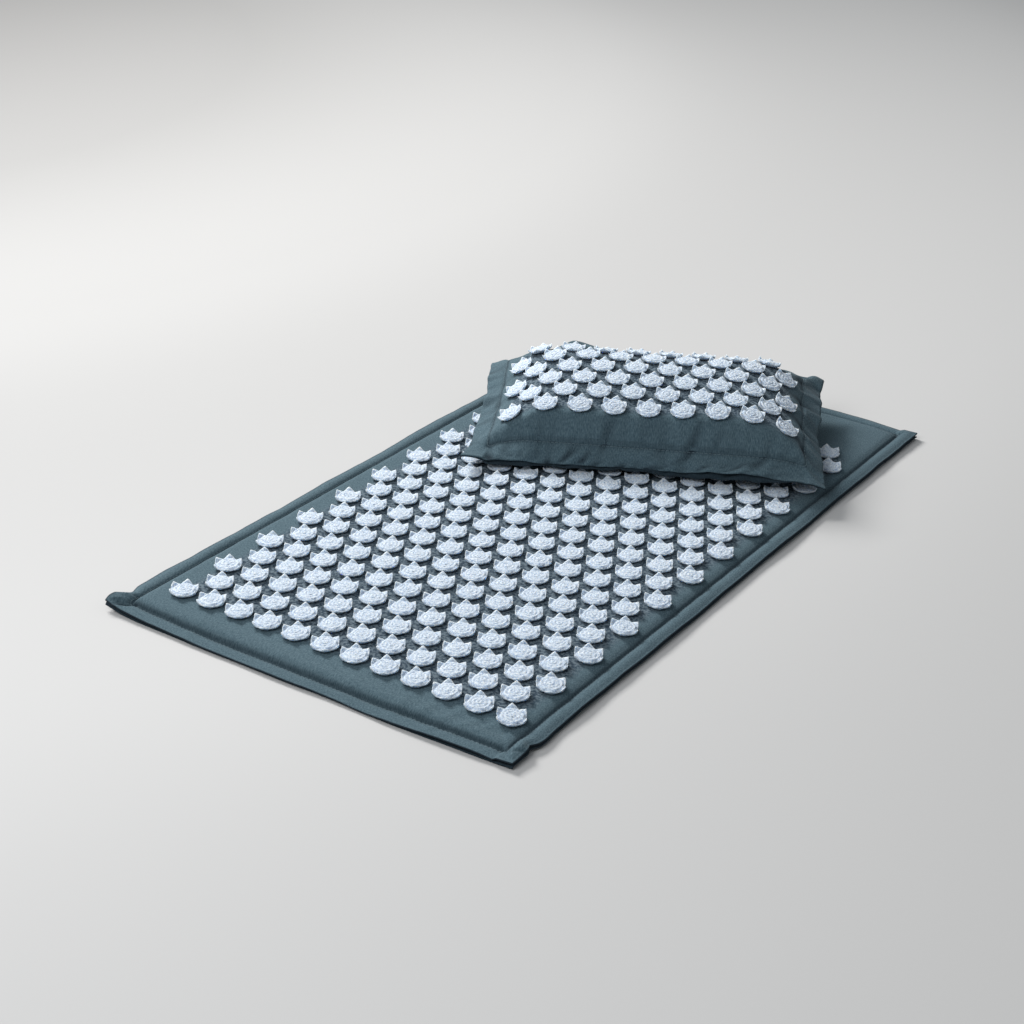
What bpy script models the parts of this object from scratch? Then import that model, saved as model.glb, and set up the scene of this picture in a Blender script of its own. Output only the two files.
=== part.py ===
"""Acupressure mat with its matching pillow, modelled in metres with +Z up.

The origin lies on the floor under the middle of the mat. +Y runs to the head end and +X
across the mat. Every sub-part is one object, and the pillow's parts hang on an empty.
"""

import math

import bmesh
import bpy
from mathutils import Matrix, Vector

# Fits
TOUCH_GAP = 0.0003
RUN_GAP = 0.00015
CLOTH = 0.0011

# Mat cover, measured over its sewn flange
MAT_WIDTH = 0.410
MAT_LENGTH = 0.760
MAT_RISE = 0.0049
MAT_CROWN = 0.0008
FLANGE = 0.015
FLANGE_DROOP = 0.0006
SEAM_LIFT = 0.0026
SHOULDER = 0.008
BELLY = 0.006
THREAD = 0.0006
THREAD_INSET = 0.002
CORNER_TURN = 0.004

# Spike discs, moulded as lotus flowers
PETALS = 6
DISC_WIDTH = 0.0254
DISC_BASE = 0.0226
DISC_RIM = 0.0236
TIP_HEIGHT = 0.0080
NOTCH_HEIGHT = 0.0036
HEART_HEIGHT = 0.0062
LINK_HEIGHT = 0.0006
SIDE_MARGIN = 0.023
FOOT_MARGIN = 0.0318
HEAD_MARGIN = 0.100
FIELD_SHIFT = 0.006
MAT_DISC_GAP = 0.0049
MAT_ROW_GAP = 0.00305

# Foam core
FOAM_CLEARANCE = 0.0004
FOAM_RIM = 0.0005

# Zip under the head end
ZIP_LENGTH = 0.290
ZIP_FROM_HEAD = 0.080
FLOOR_CLEARANCE = 0.0004
CHANNEL_SLOPE = 0.008
CHANNEL_SPARE = 0.003
LIP_GAP = 0.0012
TAPE_WIDTH = 0.011
TAPE_THICKNESS = 0.0005
TAPE_END = 0.010
COIL_SLIT = 0.0012
COIL_WIDTH = 0.0014
COIL_HEIGHT = 0.0008
STOP_LENGTH = 0.0025
SLIDER_LENGTH = 0.009
SLIDER_WIDTH = 0.0066
PLATE = 0.0006
PLATE_LIP = 0.0005
POST_LENGTH = 0.0022
CROWN_LENGTH = 0.0048
CROWN_WIDTH = 0.0014
CROWN_BAR = 0.0005
PULL_LENGTH = 0.0140
PULL_WIDTH = 0.0050
PULL_THICKNESS = 0.0008
PULL_HOLE = 0.0026

# Pillow, measured over its sewn flange
PILLOW_WIDTH = 0.345
PILLOW_DEPTH = 0.217
PILLOW_FLANGE = 0.027
PILLOW_CROWN = 0.040
FRONT_SEAM_RISE = 0.0098
BACK_SEAM_RISE = 0.0262
PILLOW_DROOP = 0.002
PILLOW_X = -0.0017
PILLOW_FROM_HEAD = 0.1982
PILLOW_TURN = math.radians(27.2)
PILLOW_SIDE_MARGIN = 0.0135
PILLOW_FRONT_MARGIN = 0.021
PILLOW_BACK_MARGIN = 0.0125
PILLOW_DISC_GAP = 0.0075
PILLOW_ROW_GAP = 0.0004
FILLING_CLEARANCE = 0.0006

# Shape of the pillow's dome: how square it is, and how round its edge is
DOME_POWER = 4
DOME_ROUND_SHARE = 0.45

# Where the grid lines lie, as shares of the roll or half side that they follow
SHOULDER_SHARES = (0.06, 0.3, 1.0)
BELLY_SHARES = (0.3, 1.0)
FOAM_SHARES = (0.1, 0.4, 1.0)
MAT_MIDDLE_SHARES = (0.0, 0.45)
PILLOW_SHARES = (0.0, 0.35, 0.62, 0.8, 0.91, 0.97)
PILLOW_EDGE_SHARE = 0.993

# Mat: places worked out from the sizes above
MAT_SEAM_X = MAT_WIDTH / 2 - FLANGE
MAT_SEAM_Y = MAT_LENGTH / 2 - FLANGE
FLANGE_TOP = SEAM_LIFT + 2 * CLOTH + TOUCH_GAP
DISC_PITCH = DISC_WIDTH + MAT_DISC_GAP
ROW_SPACING = DISC_WIDTH + MAT_ROW_GAP

# Zip: levels above the middle of the tapes, counted outwards from the cover
COIL_LOW = TAPE_THICKNESS / 2 + TOUCH_GAP
COIL_TOP = COIL_LOW + COIL_HEIGHT
PLATE_LOW = COIL_TOP + TOUCH_GAP
PLATE_TOP = PLATE_LOW + PLATE
CROWN_OPENING = PULL_THICKNESS * math.sqrt(2) + 2 * RUN_GAP
CROWN_TOP = PLATE_TOP + CROWN_OPENING + CROWN_BAR
PIVOT_LEVEL = PLATE_TOP + CROWN_OPENING / 2
INNER_PLATE_TOP = TAPE_THICKNESS / 2 + TOUCH_GAP + PLATE
ZIP_Y = MAT_LENGTH / 2 - ZIP_FROM_HEAD
ZIP_LEVEL = CROWN_TOP + FLOOR_CLEARANCE
ZIP_LIFT = ZIP_LEVEL - TAPE_THICKNESS / 2 - TOUCH_GAP - CLOTH
LIP_EDGE = SLIDER_WIDTH / 2 + LIP_GAP
CHANNEL_HALF = COIL_SLIT / 2 + TAPE_WIDTH + LIP_GAP
CHANNEL_REACH = ZIP_LENGTH / 2 + TAPE_END + CHANNEL_SPARE
SLIDER_X = ZIP_LENGTH / 2 - STOP_LENGTH - SLIDER_LENGTH / 2 - TOUCH_GAP

# Pillow: places worked out from the sizes above
PILLOW_SEAM_U = PILLOW_WIDTH / 2 - PILLOW_FLANGE
PILLOW_SEAM_V = PILLOW_DEPTH / 2 - PILLOW_FLANGE
PILLOW_REST = FLANGE_TOP + MAT_RISE + MAT_CROWN + TOUCH_GAP + TIP_HEIGHT + TOUCH_GAP
HALF_SEAM = CLOTH + TOUCH_GAP / 2
PILLOW_PITCH = DISC_WIDTH + PILLOW_DISC_GAP
PILLOW_ROW_SPACING = DISC_WIDTH + PILLOW_ROW_GAP


def clear_scene():
    for item in list(bpy.data.objects):
        bpy.data.objects.remove(item, do_unlink=True)


def new_collection(name, hidden=False):
    group = bpy.data.collections.new(name)
    group.hide_render = hidden
    bpy.context.scene.collection.children.link(group)
    return group


def finish(name, colour, roughness, metallic=0.0):
    made = bpy.data.materials.new(name)
    made.use_nodes = True
    shader = made.node_tree.nodes["Principled BSDF"]
    shader.inputs["Base Color"].default_value = (*colour, 1.0)
    shader.inputs["Roughness"].default_value = roughness
    shader.inputs["Metallic"].default_value = metallic
    return made


def add_part(name, data, surface, parent=None, place=None):
    """Links one named sub-part with its material, on its parent and at its place."""
    part = bpy.data.objects.new(name, data)
    PARTS.objects.link(part)
    data.materials.append(surface)
    part.parent = parent
    if place is not None:
        part.matrix_local = place
    return part


def mesh_from(bm, name):
    bmesh.ops.recalc_face_normals(bm, faces=bm.faces)
    mesh = bpy.data.meshes.new(name)
    bm.to_mesh(mesh)
    bm.free()
    return mesh


# Sheets and padded blocks: a grid whose lines are laid where the shape bends


def both_sides(lines):
    """Lines given on the positive side, with their mirror images, in order."""
    return sorted({*lines, *(-line for line in lines)})


def laid_grid(xs, ys, place):
    """A grid with its columns at xs and its rows at ys, each point put where place says."""
    bm = bmesh.new()
    bmesh.ops.create_grid(bm, x_segments=len(xs) - 1, y_segments=len(ys) - 1, size=1)
    for vert in bm.verts:
        column = round((vert.co.x + 1) / 2 * (len(xs) - 1))
        row = round((vert.co.y + 1) / 2 * (len(ys) - 1))
        vert.co = place(xs[column], ys[row])
    return bm


def cloth_panel(name, xs, ys, place, side, surface, parent=None):
    """A cut and sewn panel: an open sheet thickened to one side, up with 1 and down with -1."""
    bm = laid_grid(xs, ys, place)
    mesh = bpy.data.meshes.new(name)
    bm.to_mesh(mesh)
    bm.free()
    panel = add_part(name, mesh, surface, parent)
    mesh.shade_smooth()
    thick = panel.modifiers.new("cloth", "SOLIDIFY")
    thick.thickness = CLOTH
    thick.offset = side
    return panel


def padded_block(name, xs, ys, under, over, surface, parent=None):
    """A soft block between two surfaces, closed by upright sides."""
    bm = laid_grid(xs, ys, lambda x, y: Vector((x, y, 0)))
    bmesh.ops.solidify(bm, geom=bm.faces[:], thickness=CLOTH)
    for vert in bm.verts:
        level = over if vert.co.z > -CLOTH / 2 else under
        vert.co.z = level(vert.co.x, vert.co.y)
    return add_part(name, mesh_from(bm, name), surface, parent)


def thread_loop(name, half_x, half_y, level, surface, parent=None):
    """The line of topstitching that closes the cover, as one thread laid round the flange."""
    corners = ((1, 1), (-1, 1), (-1, -1), (1, -1))
    points = []
    for corner, (side_x, side_y) in enumerate(corners):
        for step in range(3):
            angle = (corner + step / 2) * math.pi / 2
            x = side_x * (half_x - CORNER_TURN) + CORNER_TURN * math.cos(angle)
            y = side_y * (half_y - CORNER_TURN) + CORNER_TURN * math.sin(angle)
            points.append(Vector((x, y, level(x, y) + TOUCH_GAP + THREAD)))
    curve = bpy.data.curves.new(name, "CURVE")
    curve.dimensions = "3D"
    curve.twist_mode = "Z_UP"
    curve.bevel_depth = THREAD
    curve.bevel_resolution = 0
    line = curve.splines.new("POLY")
    line.points.add(len(points) - 1)
    for point, place in zip(line.points, points):
        point.co = (*place, 1)
    line.use_cyclic_u = True
    return add_part(name, curve, surface, parent)


# Spike discs


def seat_frame(surface, x, y):
    """The place of a disc that lies on a surface: +Z along the normal, clear of the cloth."""
    reach = DISC_BASE / 4
    along = Vector((2 * reach, 0, surface(x + reach, y) - surface(x - reach, y)))
    across = Vector((0, 2 * reach, surface(x, y + reach) - surface(x, y - reach)))
    normal = along.cross(across).normalized()
    axis = along.normalized()
    turn = Matrix((axis, normal.cross(axis), normal)).transposed().to_4x4()
    seat = Matrix.Translation((x, y, surface(x, y))) @ turn
    tight = 0
    for ring in (0, DISC_BASE / 4, DISC_BASE / 2):
        for petal in range(PETALS):
            angle = 2 * math.pi * petal / PETALS
            spot = seat @ Vector((ring * math.cos(angle), ring * math.sin(angle), 0))
            tight = max(tight, surface(spot.x, spot.y) - spot.z)
    return Matrix.Translation(normal * (tight + TOUCH_GAP)) @ seat


def lotus_disc(bm, seat):
    """One moulded disc: a ring of petals that lean out to sharp tips round a raised heart.

    It returns the two small faces at its sides, where the next discs in the row are linked.
    """
    turn = Matrix.Rotation(math.pi / PETALS - math.pi / 2, 4, "Z")
    stand = Matrix.Translation((0, 0, NOTCH_HEIGHT / 2)) @ turn
    made = bmesh.ops.create_cone(
        bm,
        cap_ends=True,
        segments=PETALS,
        radius1=DISC_BASE / 2,
        radius2=DISC_RIM / 2,
        depth=NOTCH_HEIGHT,
        matrix=stand,
    )
    disc = set(made["verts"])
    around = [face for face in bm.faces if disc.issuperset(face.verts)]
    flanks = [face for face in around if len(face.verts) == 4]
    top = max(around, key=lambda face: face.calc_center_median().z)
    heart = bmesh.ops.poke(bm, faces=[top])["verts"][0]
    heart.co.z = HEART_HEIGHT
    tips = bmesh.ops.poke(bm, faces=flanks)["verts"]
    ends = {}
    for tip in tips:
        angle = math.atan2(tip.co.y, tip.co.x)
        reach = DISC_WIDTH / 2
        tip.co = (reach * math.cos(angle), reach * math.sin(angle), TIP_HEIGHT)
        if abs(tip.co.y) < reach / PETALS:
            ends[tip.co.x > 0] = tip
    disc.update(tips, [heart])
    links = {}
    for side, tip in ends.items():
        roots = [edge for edge in tip.link_edges if edge.other_vert(tip).co.z < LINK_HEIGHT]
        cuts = []
        for edge in roots:
            root = edge.other_vert(tip)
            cuts.append(bmesh.utils.edge_split(edge, root, LINK_HEIGHT / TIP_HEIGHT)[1])
        bmesh.ops.connect_verts(bm, verts=cuts)
        disc.update(cuts)
        shared = set(cuts[0].link_faces) & set(cuts[1].link_faces)
        links[side] = next(face for face in shared if tip not in face.verts)
    bmesh.ops.transform(bm, matrix=seat, verts=list(disc))
    return links


def disc_row(name, surface, xs, y, plastic, parent=None):
    """A row of discs, held together by thin links along the line on which they are bonded."""
    bm = bmesh.new()
    discs = [lotus_disc(bm, seat_frame(surface, x, y)) for x in xs]
    for left, right in zip(discs, discs[1:]):
        facing = [left[True], right[False]]
        rims = [edge for face in facing for edge in face.edges]
        bmesh.ops.delete(bm, geom=facing, context="FACES_ONLY")
        bmesh.ops.bridge_loops(bm, edges=rims)
    return add_part(name, mesh_from(bm, name), plastic, parent)


def staggered_rows(prefix, surface, first, last, spacing, span, pitch, shift, parent=None):
    """Rows from first to last, each shifted by half a pitch from the one before."""
    rows = int((last - first) / spacing) + 1
    most = int(span / pitch) + 1
    for row in range(rows):
        count = most - row % 2
        xs = [shift + (disc - (count - 1) / 2) * pitch for disc in range(count)]
        name = f"{prefix}_spike_row_{row + 1:02d}"
        disc_row(name, surface, xs, first + row * spacing, PLASTIC, parent)


# Mat


def roll_rise(distance, roll):
    """A quarter round: 0 at the seam, 1 where the roll ends."""
    reach = min(max(distance / roll, 0), 1)
    return math.sqrt(1 - (1 - reach) ** 2)


def ramp(distance, flat, slope):
    """1 as far as flat, then down to 0 over the slope."""
    return min(max((flat + slope - distance) / slope, 0), 1)


def flange_sag(x, y):
    """How far the flange hangs below the seam, which is none inside the seam."""
    outside = max(abs(x) - MAT_SEAM_X, abs(y) - MAT_SEAM_Y, 0)
    return FLANGE_DROOP * outside / FLANGE


def mat_top(x, y, inset=0):
    """The cover's upper side, or a surface that lies inset inside it."""
    inside_x = MAT_SEAM_X - abs(x)
    inside_y = MAT_SEAM_Y - abs(y)
    rise = MAT_RISE * roll_rise(inside_x - inset, SHOULDER) * roll_rise(inside_y - inset, SHOULDER)
    crown = MAT_CROWN * max(1 - (x / MAT_SEAM_X) ** 2, 0) * max(1 - (y / MAT_SEAM_Y) ** 2, 0)
    return FLANGE_TOP - flange_sag(x, y) + rise + crown - inset


def mat_under(x, y, inset=0):
    """The cover's underside without the zip's channel, or a surface inset inside it."""
    inside_x = MAT_SEAM_X - abs(x)
    inside_y = MAT_SEAM_Y - abs(y)
    drop = roll_rise(inside_x - inset, BELLY) * roll_rise(inside_y - inset, BELLY)
    return SEAM_LIFT * (1 - drop) - flange_sag(x, y) + inset


def zip_channel(x, y, spare=0):
    """1 over the zip and 0 away from it, with the channel widened by spare."""
    across = ramp(abs(y - ZIP_Y), CHANNEL_HALF + spare, CHANNEL_SLOPE)
    return across * ramp(abs(x), CHANNEL_REACH + spare, CHANNEL_SLOPE)


def build_mat_cover():
    roll_xs = [MAT_SEAM_X - SHOULDER * share for share in SHOULDER_SHARES]
    roll_ys = [MAT_SEAM_Y - SHOULDER * share for share in SHOULDER_SHARES]
    middle_xs = [MAT_SEAM_X * share for share in MAT_MIDDLE_SHARES]
    middle_ys = [MAT_SEAM_Y * share for share in MAT_MIDDLE_SHARES]
    top_xs = both_sides([MAT_WIDTH / 2, MAT_SEAM_X, *roll_xs, *middle_xs])
    top_ys = both_sides([MAT_LENGTH / 2, MAT_SEAM_Y, *roll_ys, *middle_ys])

    def upper(x, y):
        return Vector((x, y, mat_top(x, y)))

    cloth_panel("mat_top_panel", top_xs, top_ys, upper, -1, COVER)
    half_x = MAT_SEAM_X + THREAD_INSET
    half_y = MAT_SEAM_Y + THREAD_INSET
    thread_loop("mat_topstitch", half_x, half_y, mat_top, THREAD_FINISH)


def build_mat_base():
    """The underside in two panels, which meet at the zip and rise over its channel."""
    belly_xs = [MAT_SEAM_X - BELLY * share for share in BELLY_SHARES]
    belly_ys = [MAT_SEAM_Y - BELLY * share for share in BELLY_SHARES]
    channel_xs = [0, CHANNEL_REACH, CHANNEL_REACH + CHANNEL_SLOPE]
    xs = both_sides([MAT_WIDTH / 2, MAT_SEAM_X, *belly_xs, *channel_xs])
    edge_ys = [*belly_ys, MAT_SEAM_Y, MAT_LENGTH / 2]
    channel_ys = [CHANNEL_HALF, CHANNEL_HALF + CHANNEL_SLOPE]
    foot_ys = sorted([ZIP_Y] + [ZIP_Y - y for y in channel_ys] + [0] + [-y for y in edge_ys])
    head_ys = sorted([ZIP_Y] + [ZIP_Y + y for y in channel_ys] + edge_ys)
    for name, ys, side in (("foot", foot_ys, -1), ("head", head_ys, 1)):

        def lower(x, y, side=side):
            if y == ZIP_Y:
                open_share = ramp(abs(x), CHANNEL_REACH, CHANNEL_SLOPE)
                y += side * (TOUCH_GAP + (LIP_EDGE - TOUCH_GAP) * open_share)
            return Vector((x, y, mat_under(x, y) + ZIP_LIFT * zip_channel(x, y)))

        cloth_panel(f"mat_base_panel_{name}", xs, ys, lower, 1, COVER)


def build_foam_core():
    inset = CLOTH + FOAM_CLEARANCE
    edge_x = MAT_SEAM_X - inset - FOAM_RIM
    edge_y = MAT_SEAM_Y - inset - FOAM_RIM
    roll_xs = [MAT_SEAM_X - inset - SHOULDER * share for share in FOAM_SHARES]
    roll_ys = [MAT_SEAM_Y - inset - SHOULDER * share for share in FOAM_SHARES]
    channel_x = CHANNEL_REACH + CHANNEL_SLOPE
    channel_y = CHANNEL_HALF + CHANNEL_SLOPE
    xs = both_sides([0, channel_x, channel_x + CHANNEL_SLOPE, *roll_xs, edge_x])
    channel_ys = [ZIP_Y + side * y for side in (-1, 1) for y in (channel_y, channel_y + CHANNEL_SLOPE)]
    ys = sorted([*both_sides([0, *roll_ys, edge_y]), *channel_ys])
    over_zip = ZIP_LEVEL + INNER_PLATE_TOP + TOUCH_GAP

    def under(x, y):
        low = mat_under(x, y, inset)
        return low + (over_zip - low) * zip_channel(x, y, CHANNEL_SLOPE)

    def over(x, y):
        return mat_top(x, y, inset)

    padded_block("mat_foam_core", xs, ys, under, over, FOAM)


def build_mat_spikes():
    span = 2 * (MAT_SEAM_X - SIDE_MARGIN)
    first = FOOT_MARGIN - MAT_SEAM_Y
    last = MAT_SEAM_Y - HEAD_MARGIN
    staggered_rows("mat", mat_top, first, last, ROW_SPACING, span, DISC_PITCH, FIELD_SHIFT)


# Zip: its pieces are made about the middle of the tapes, with +Z out of the cover


def box(low, high):
    """A block between two corners, from the cube primitive."""
    bm = bmesh.new()
    low, high = Vector(low), Vector(high)
    place = Matrix.Translation((low + high) / 2) @ Matrix.Diagonal((*(high - low), 1))
    bmesh.ops.create_cube(bm, size=1, matrix=place)
    return bm


def union_of(name, boxes, surface, parent, place):
    """One casting made of blocks that run into each other."""
    part = add_part(name, mesh_from(box(*boxes[0]), name), surface, parent, place)
    for number, corners in enumerate(boxes[1:], 1):
        helper = bpy.data.objects.new(f"{name}_block_{number}", mesh_from(box(*corners), name))
        CUTTERS.objects.link(helper)
        helper.parent = parent
        helper.matrix_local = place
        helper.hide_render = True
        helper.display_type = "WIRE"
        join = part.modifiers.new(f"block {number}", "BOOLEAN")
        join.operation = "UNION"
        join.solver = "EXACT"
        join.object = helper
    return part


def build_zip_tapes(frame):
    reach = ZIP_LENGTH / 2 + TAPE_END
    for name, side in (("foot", 1), ("head", -1)):
        near, far = sorted((side * COIL_SLIT / 2, side * (COIL_SLIT / 2 + TAPE_WIDTH)))
        tape = box((-reach, near, -TAPE_THICKNESS / 2), (reach, far, TAPE_THICKNESS / 2))
        add_part(f"mat_zip_tape_{name}", mesh_from(tape, name), TAPE, frame)
        near, far = sorted((side * COIL_SLIT / 2, side * (COIL_SLIT / 2 + COIL_WIDTH)))
        length = ZIP_LENGTH / 2
        coil = box((-length, near, COIL_LOW), (length, far, COIL_TOP))
        add_part(f"mat_zip_coil_{name}", mesh_from(coil, name), COIL, frame)


def build_zip_stops(frame):
    """The two staples that end the slider's run, clamped over both coils."""
    half = COIL_SLIT / 2 + COIL_WIDTH
    low = COIL_TOP + TOUCH_GAP
    for name, end in (("closed", 1), ("open", -1)):
        inner, outer = sorted((end * (ZIP_LENGTH / 2 - STOP_LENGTH), end * ZIP_LENGTH / 2))
        stop = box((inner, -half, low), (outer, half, low + PLATE))
        add_part(f"mat_zip_stop_{name}", mesh_from(stop, name), METAL, frame)


def build_zip_slider(frame):
    half_length = SLIDER_LENGTH / 2
    half_width = SLIDER_WIDTH / 2
    bridge = CROWN_LENGTH / 2
    rib = CROWN_WIDTH / 2
    neck = COIL_SLIT / 2 - RUN_GAP
    leg_top = CROWN_TOP - CROWN_BAR / 2
    plate_middle = PLATE_LOW + PLATE / 2
    inner_middle = PLATE / 2 - INNER_PLATE_TOP
    blocks = [
        ((-half_length, -half_width, PLATE_LOW), (half_length, half_width, PLATE_TOP)),
        (
            (-half_length, -half_width, -INNER_PLATE_TOP),
            (half_length, half_width, PLATE - INNER_PLATE_TOP),
        ),
        ((half_length - POST_LENGTH, -neck, inner_middle), (half_length - PLATE, neck, plate_middle)),
        ((-bridge, -rib, plate_middle), (-bridge + CROWN_BAR * 2, rib, leg_top)),
        ((bridge - CROWN_BAR * 2, -rib, plate_middle), (bridge, rib, leg_top)),
        ((-bridge, -rib, CROWN_TOP - CROWN_BAR), (bridge, rib, CROWN_TOP)),
    ]
    for side in (-1, 1):
        near, far = sorted((side * (half_width - PLATE_LIP), side * half_width))
        lip_low = PLATE_LOW - COIL_HEIGHT
        blocks.append(((-half_length, near, lip_low), (half_length, far, plate_middle)))
    place = Matrix.Translation((SLIDER_X, 0, 0))
    union_of("mat_zip_slider", blocks, METAL, frame, place)


def build_zip_pull(frame):
    """The pull tab: a flat plate with a window that the slider's crown stands in."""
    bar = PULL_THICKNESS / 2
    half = PULL_WIDTH / 2
    window = CROWN_WIDTH / 2 + LIP_GAP / 2
    window_end = CROWN_LENGTH / 2 + CROWN_TOP - PIVOT_LEVEL + PULL_THICKNESS
    end = PULL_LENGTH - half
    round_end = [math.pi * step / 6 - math.pi / 2 for step in range(7)]
    outline = [(-bar, half), (-bar, -half)]
    outline += [(end + half * math.cos(a), half * math.sin(a)) for a in round_end]
    slot = [(bar, -window), (bar, window), (window_end, window), (window_end, -window)]
    turns = [2 * math.pi * step / 10 for step in range(10)]
    hole = [(end - PULL_HOLE / 2 * math.cos(a), PULL_HOLE / 2 * math.sin(a)) for a in turns]
    curve = bpy.data.curves.new("mat_zip_pull", "CURVE")
    curve.dimensions = "2D"
    curve.fill_mode = "BOTH"
    curve.extrude = PULL_THICKNESS / 2
    for ring in (outline, slot, hole):
        line = curve.splines.new("POLY")
        line.points.add(len(ring) - 1)
        for point, (x, y) in zip(line.points, ring):
            point.co = (x, y, 0, 1)
        line.use_cyclic_u = True
    place = Matrix.Translation((SLIDER_X, 0, PIVOT_LEVEL)) @ Matrix.Rotation(math.pi, 4, "Z")
    add_part("mat_zip_pull", curve, METAL, frame, place)


def build_zip():
    """The zip lies face down in its channel, so its frame is turned about the X axis."""
    frame = bpy.data.objects.new("mat_zip_frame", None)
    PARTS.objects.link(frame)
    frame.location = (0, ZIP_Y, ZIP_LEVEL)
    frame.rotation_euler = (math.pi, 0, 0)
    build_zip_tapes(frame)
    build_zip_stops(frame)
    build_zip_slider(frame)
    build_zip_pull(frame)


# Pillow: u runs along its width and v from its front to its back, from its own middle


def dome(u, v, inset=0):
    """The cushion's swell: 0 at the seam and 1 in the middle."""
    half_u = PILLOW_SEAM_U - inset
    half_v = PILLOW_SEAM_V - inset
    share_u = max(1 - abs(u / half_u) ** DOME_POWER, 0)
    share_v = max(1 - abs(v / half_v) ** DOME_POWER, 0)
    return (share_u * share_v) ** DOME_ROUND_SHARE


def seam_level(u, v):
    """The middle of the seam and flange: low in front, where the pillow leans, and high behind."""
    share = (v + PILLOW_SEAM_V) / (2 * PILLOW_SEAM_V)
    share = min(max(share, 0), 1)
    outside = max(abs(u) - PILLOW_SEAM_U, abs(v) - PILLOW_SEAM_V, 0)
    rise = FRONT_SEAM_RISE + (BACK_SEAM_RISE - FRONT_SEAM_RISE) * share
    return PILLOW_REST + rise - PILLOW_DROOP * outside / PILLOW_FLANGE


def pillow_top(u, v, inset=0):
    return seam_level(u, v) + HALF_SEAM + PILLOW_CROWN * dome(u, v, inset) - inset


def pillow_under(u, v, inset=0):
    level = seam_level(u, v) - HALF_SEAM
    return level - (level - PILLOW_REST) * dome(u, v, inset) + inset


def build_pillow():
    frame = bpy.data.objects.new("pillow_frame", None)
    PARTS.objects.link(frame)
    frame.location = (PILLOW_X, MAT_LENGTH / 2 - PILLOW_FROM_HEAD, 0)
    frame.rotation_euler = (0, 0, PILLOW_TURN)

    def lines(half, seam):
        return both_sides([half, seam, *(seam * share for share in (*PILLOW_SHARES, PILLOW_EDGE_SHARE))])

    def upper(u, v):
        return Vector((u, v, pillow_top(u, v)))

    def lower(u, v):
        return Vector((u, v, pillow_under(u, v)))

    half_u, half_v = PILLOW_WIDTH / 2, PILLOW_DEPTH / 2
    us = lines(half_u, PILLOW_SEAM_U)
    vs = lines(half_v, PILLOW_SEAM_V)
    cloth_panel("pillow_top_panel", us, vs, upper, -1, COVER, frame)
    cloth_panel("pillow_base_panel", us, vs, lower, 1, COVER, frame)

    inset = CLOTH + FILLING_CLEARANCE
    padded_block(
        "pillow_filling",
        both_sides([(PILLOW_SEAM_U - inset) * share for share in PILLOW_SHARES]),
        both_sides([(PILLOW_SEAM_V - inset) * share for share in PILLOW_SHARES]),
        lambda u, v: pillow_under(u, v, inset),
        lambda u, v: pillow_top(u, v, inset),
        FOAM,
        frame,
    )
    stitch_u = PILLOW_SEAM_U + THREAD_INSET
    stitch_v = PILLOW_SEAM_V + THREAD_INSET
    thread_loop("pillow_topstitch", stitch_u, stitch_v, pillow_top, THREAD_FINISH, frame)
    span = 2 * (PILLOW_SEAM_U - PILLOW_SIDE_MARGIN)
    first = PILLOW_FRONT_MARGIN - PILLOW_SEAM_V
    last = PILLOW_SEAM_V - PILLOW_BACK_MARGIN
    staggered_rows(
        "pillow", pillow_top, first, last, PILLOW_ROW_SPACING, span, PILLOW_PITCH, 0, frame
    )


clear_scene()
PARTS = new_collection("acupressure_mat")
CUTTERS = new_collection("cutters", hidden=True)
COVER = finish("teal cotton", (0.038, 0.068, 0.084), 0.9)
PLASTIC = finish("pale blue spike plastic", (0.62, 0.70, 0.82), 0.45)
FOAM = finish("core foam", (0.75, 0.73, 0.66), 0.95)
TAPE = finish("zip tape", (0.03, 0.05, 0.06), 0.9)
COIL = finish("zip coil", (0.03, 0.045, 0.055), 0.5)
METAL = finish("zip metal", (0.55, 0.56, 0.58), 0.3, 1.0)
THREAD_FINISH = finish("topstitch thread", (0.05, 0.085, 0.10), 0.8)
build_mat_cover()
build_mat_base()
build_foam_core()
build_mat_spikes()
build_zip()
build_pillow()
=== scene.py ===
import math

import bmesh
import bpy
import numpy as np
from mathutils import Matrix, Vector, noise


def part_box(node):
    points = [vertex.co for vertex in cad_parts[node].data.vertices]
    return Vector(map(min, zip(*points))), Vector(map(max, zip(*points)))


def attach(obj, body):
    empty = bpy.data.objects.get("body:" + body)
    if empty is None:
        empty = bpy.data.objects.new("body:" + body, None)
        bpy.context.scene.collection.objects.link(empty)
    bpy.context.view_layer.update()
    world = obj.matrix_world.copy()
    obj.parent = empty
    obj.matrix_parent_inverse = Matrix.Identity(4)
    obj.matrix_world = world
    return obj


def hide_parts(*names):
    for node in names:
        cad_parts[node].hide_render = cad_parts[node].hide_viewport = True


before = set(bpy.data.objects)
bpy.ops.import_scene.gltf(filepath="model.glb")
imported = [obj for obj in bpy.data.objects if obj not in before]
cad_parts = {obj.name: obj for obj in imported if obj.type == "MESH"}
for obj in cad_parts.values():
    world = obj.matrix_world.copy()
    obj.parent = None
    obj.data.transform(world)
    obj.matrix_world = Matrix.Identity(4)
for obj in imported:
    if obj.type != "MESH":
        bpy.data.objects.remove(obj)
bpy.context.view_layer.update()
mm = 0.001

# Viewpoint, floor and studio light
# The mat is seen from beyond its right foot corner, a little above. It lies on a pale floor,
# lit by a broad soft lamp high on the left, a weaker one in front and even light all round.
# The floor's paint is graded by distance from the foot of the key lamp, as painted light.


def placed(name, data, finish=None):
    """An object of this data, put in the scene, in a finish if one is given."""
    if finish:
        data.materials.append(finish)
    made = bpy.data.objects.new(name, data)
    bpy.context.scene.collection.objects.link(made)
    return made


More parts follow.
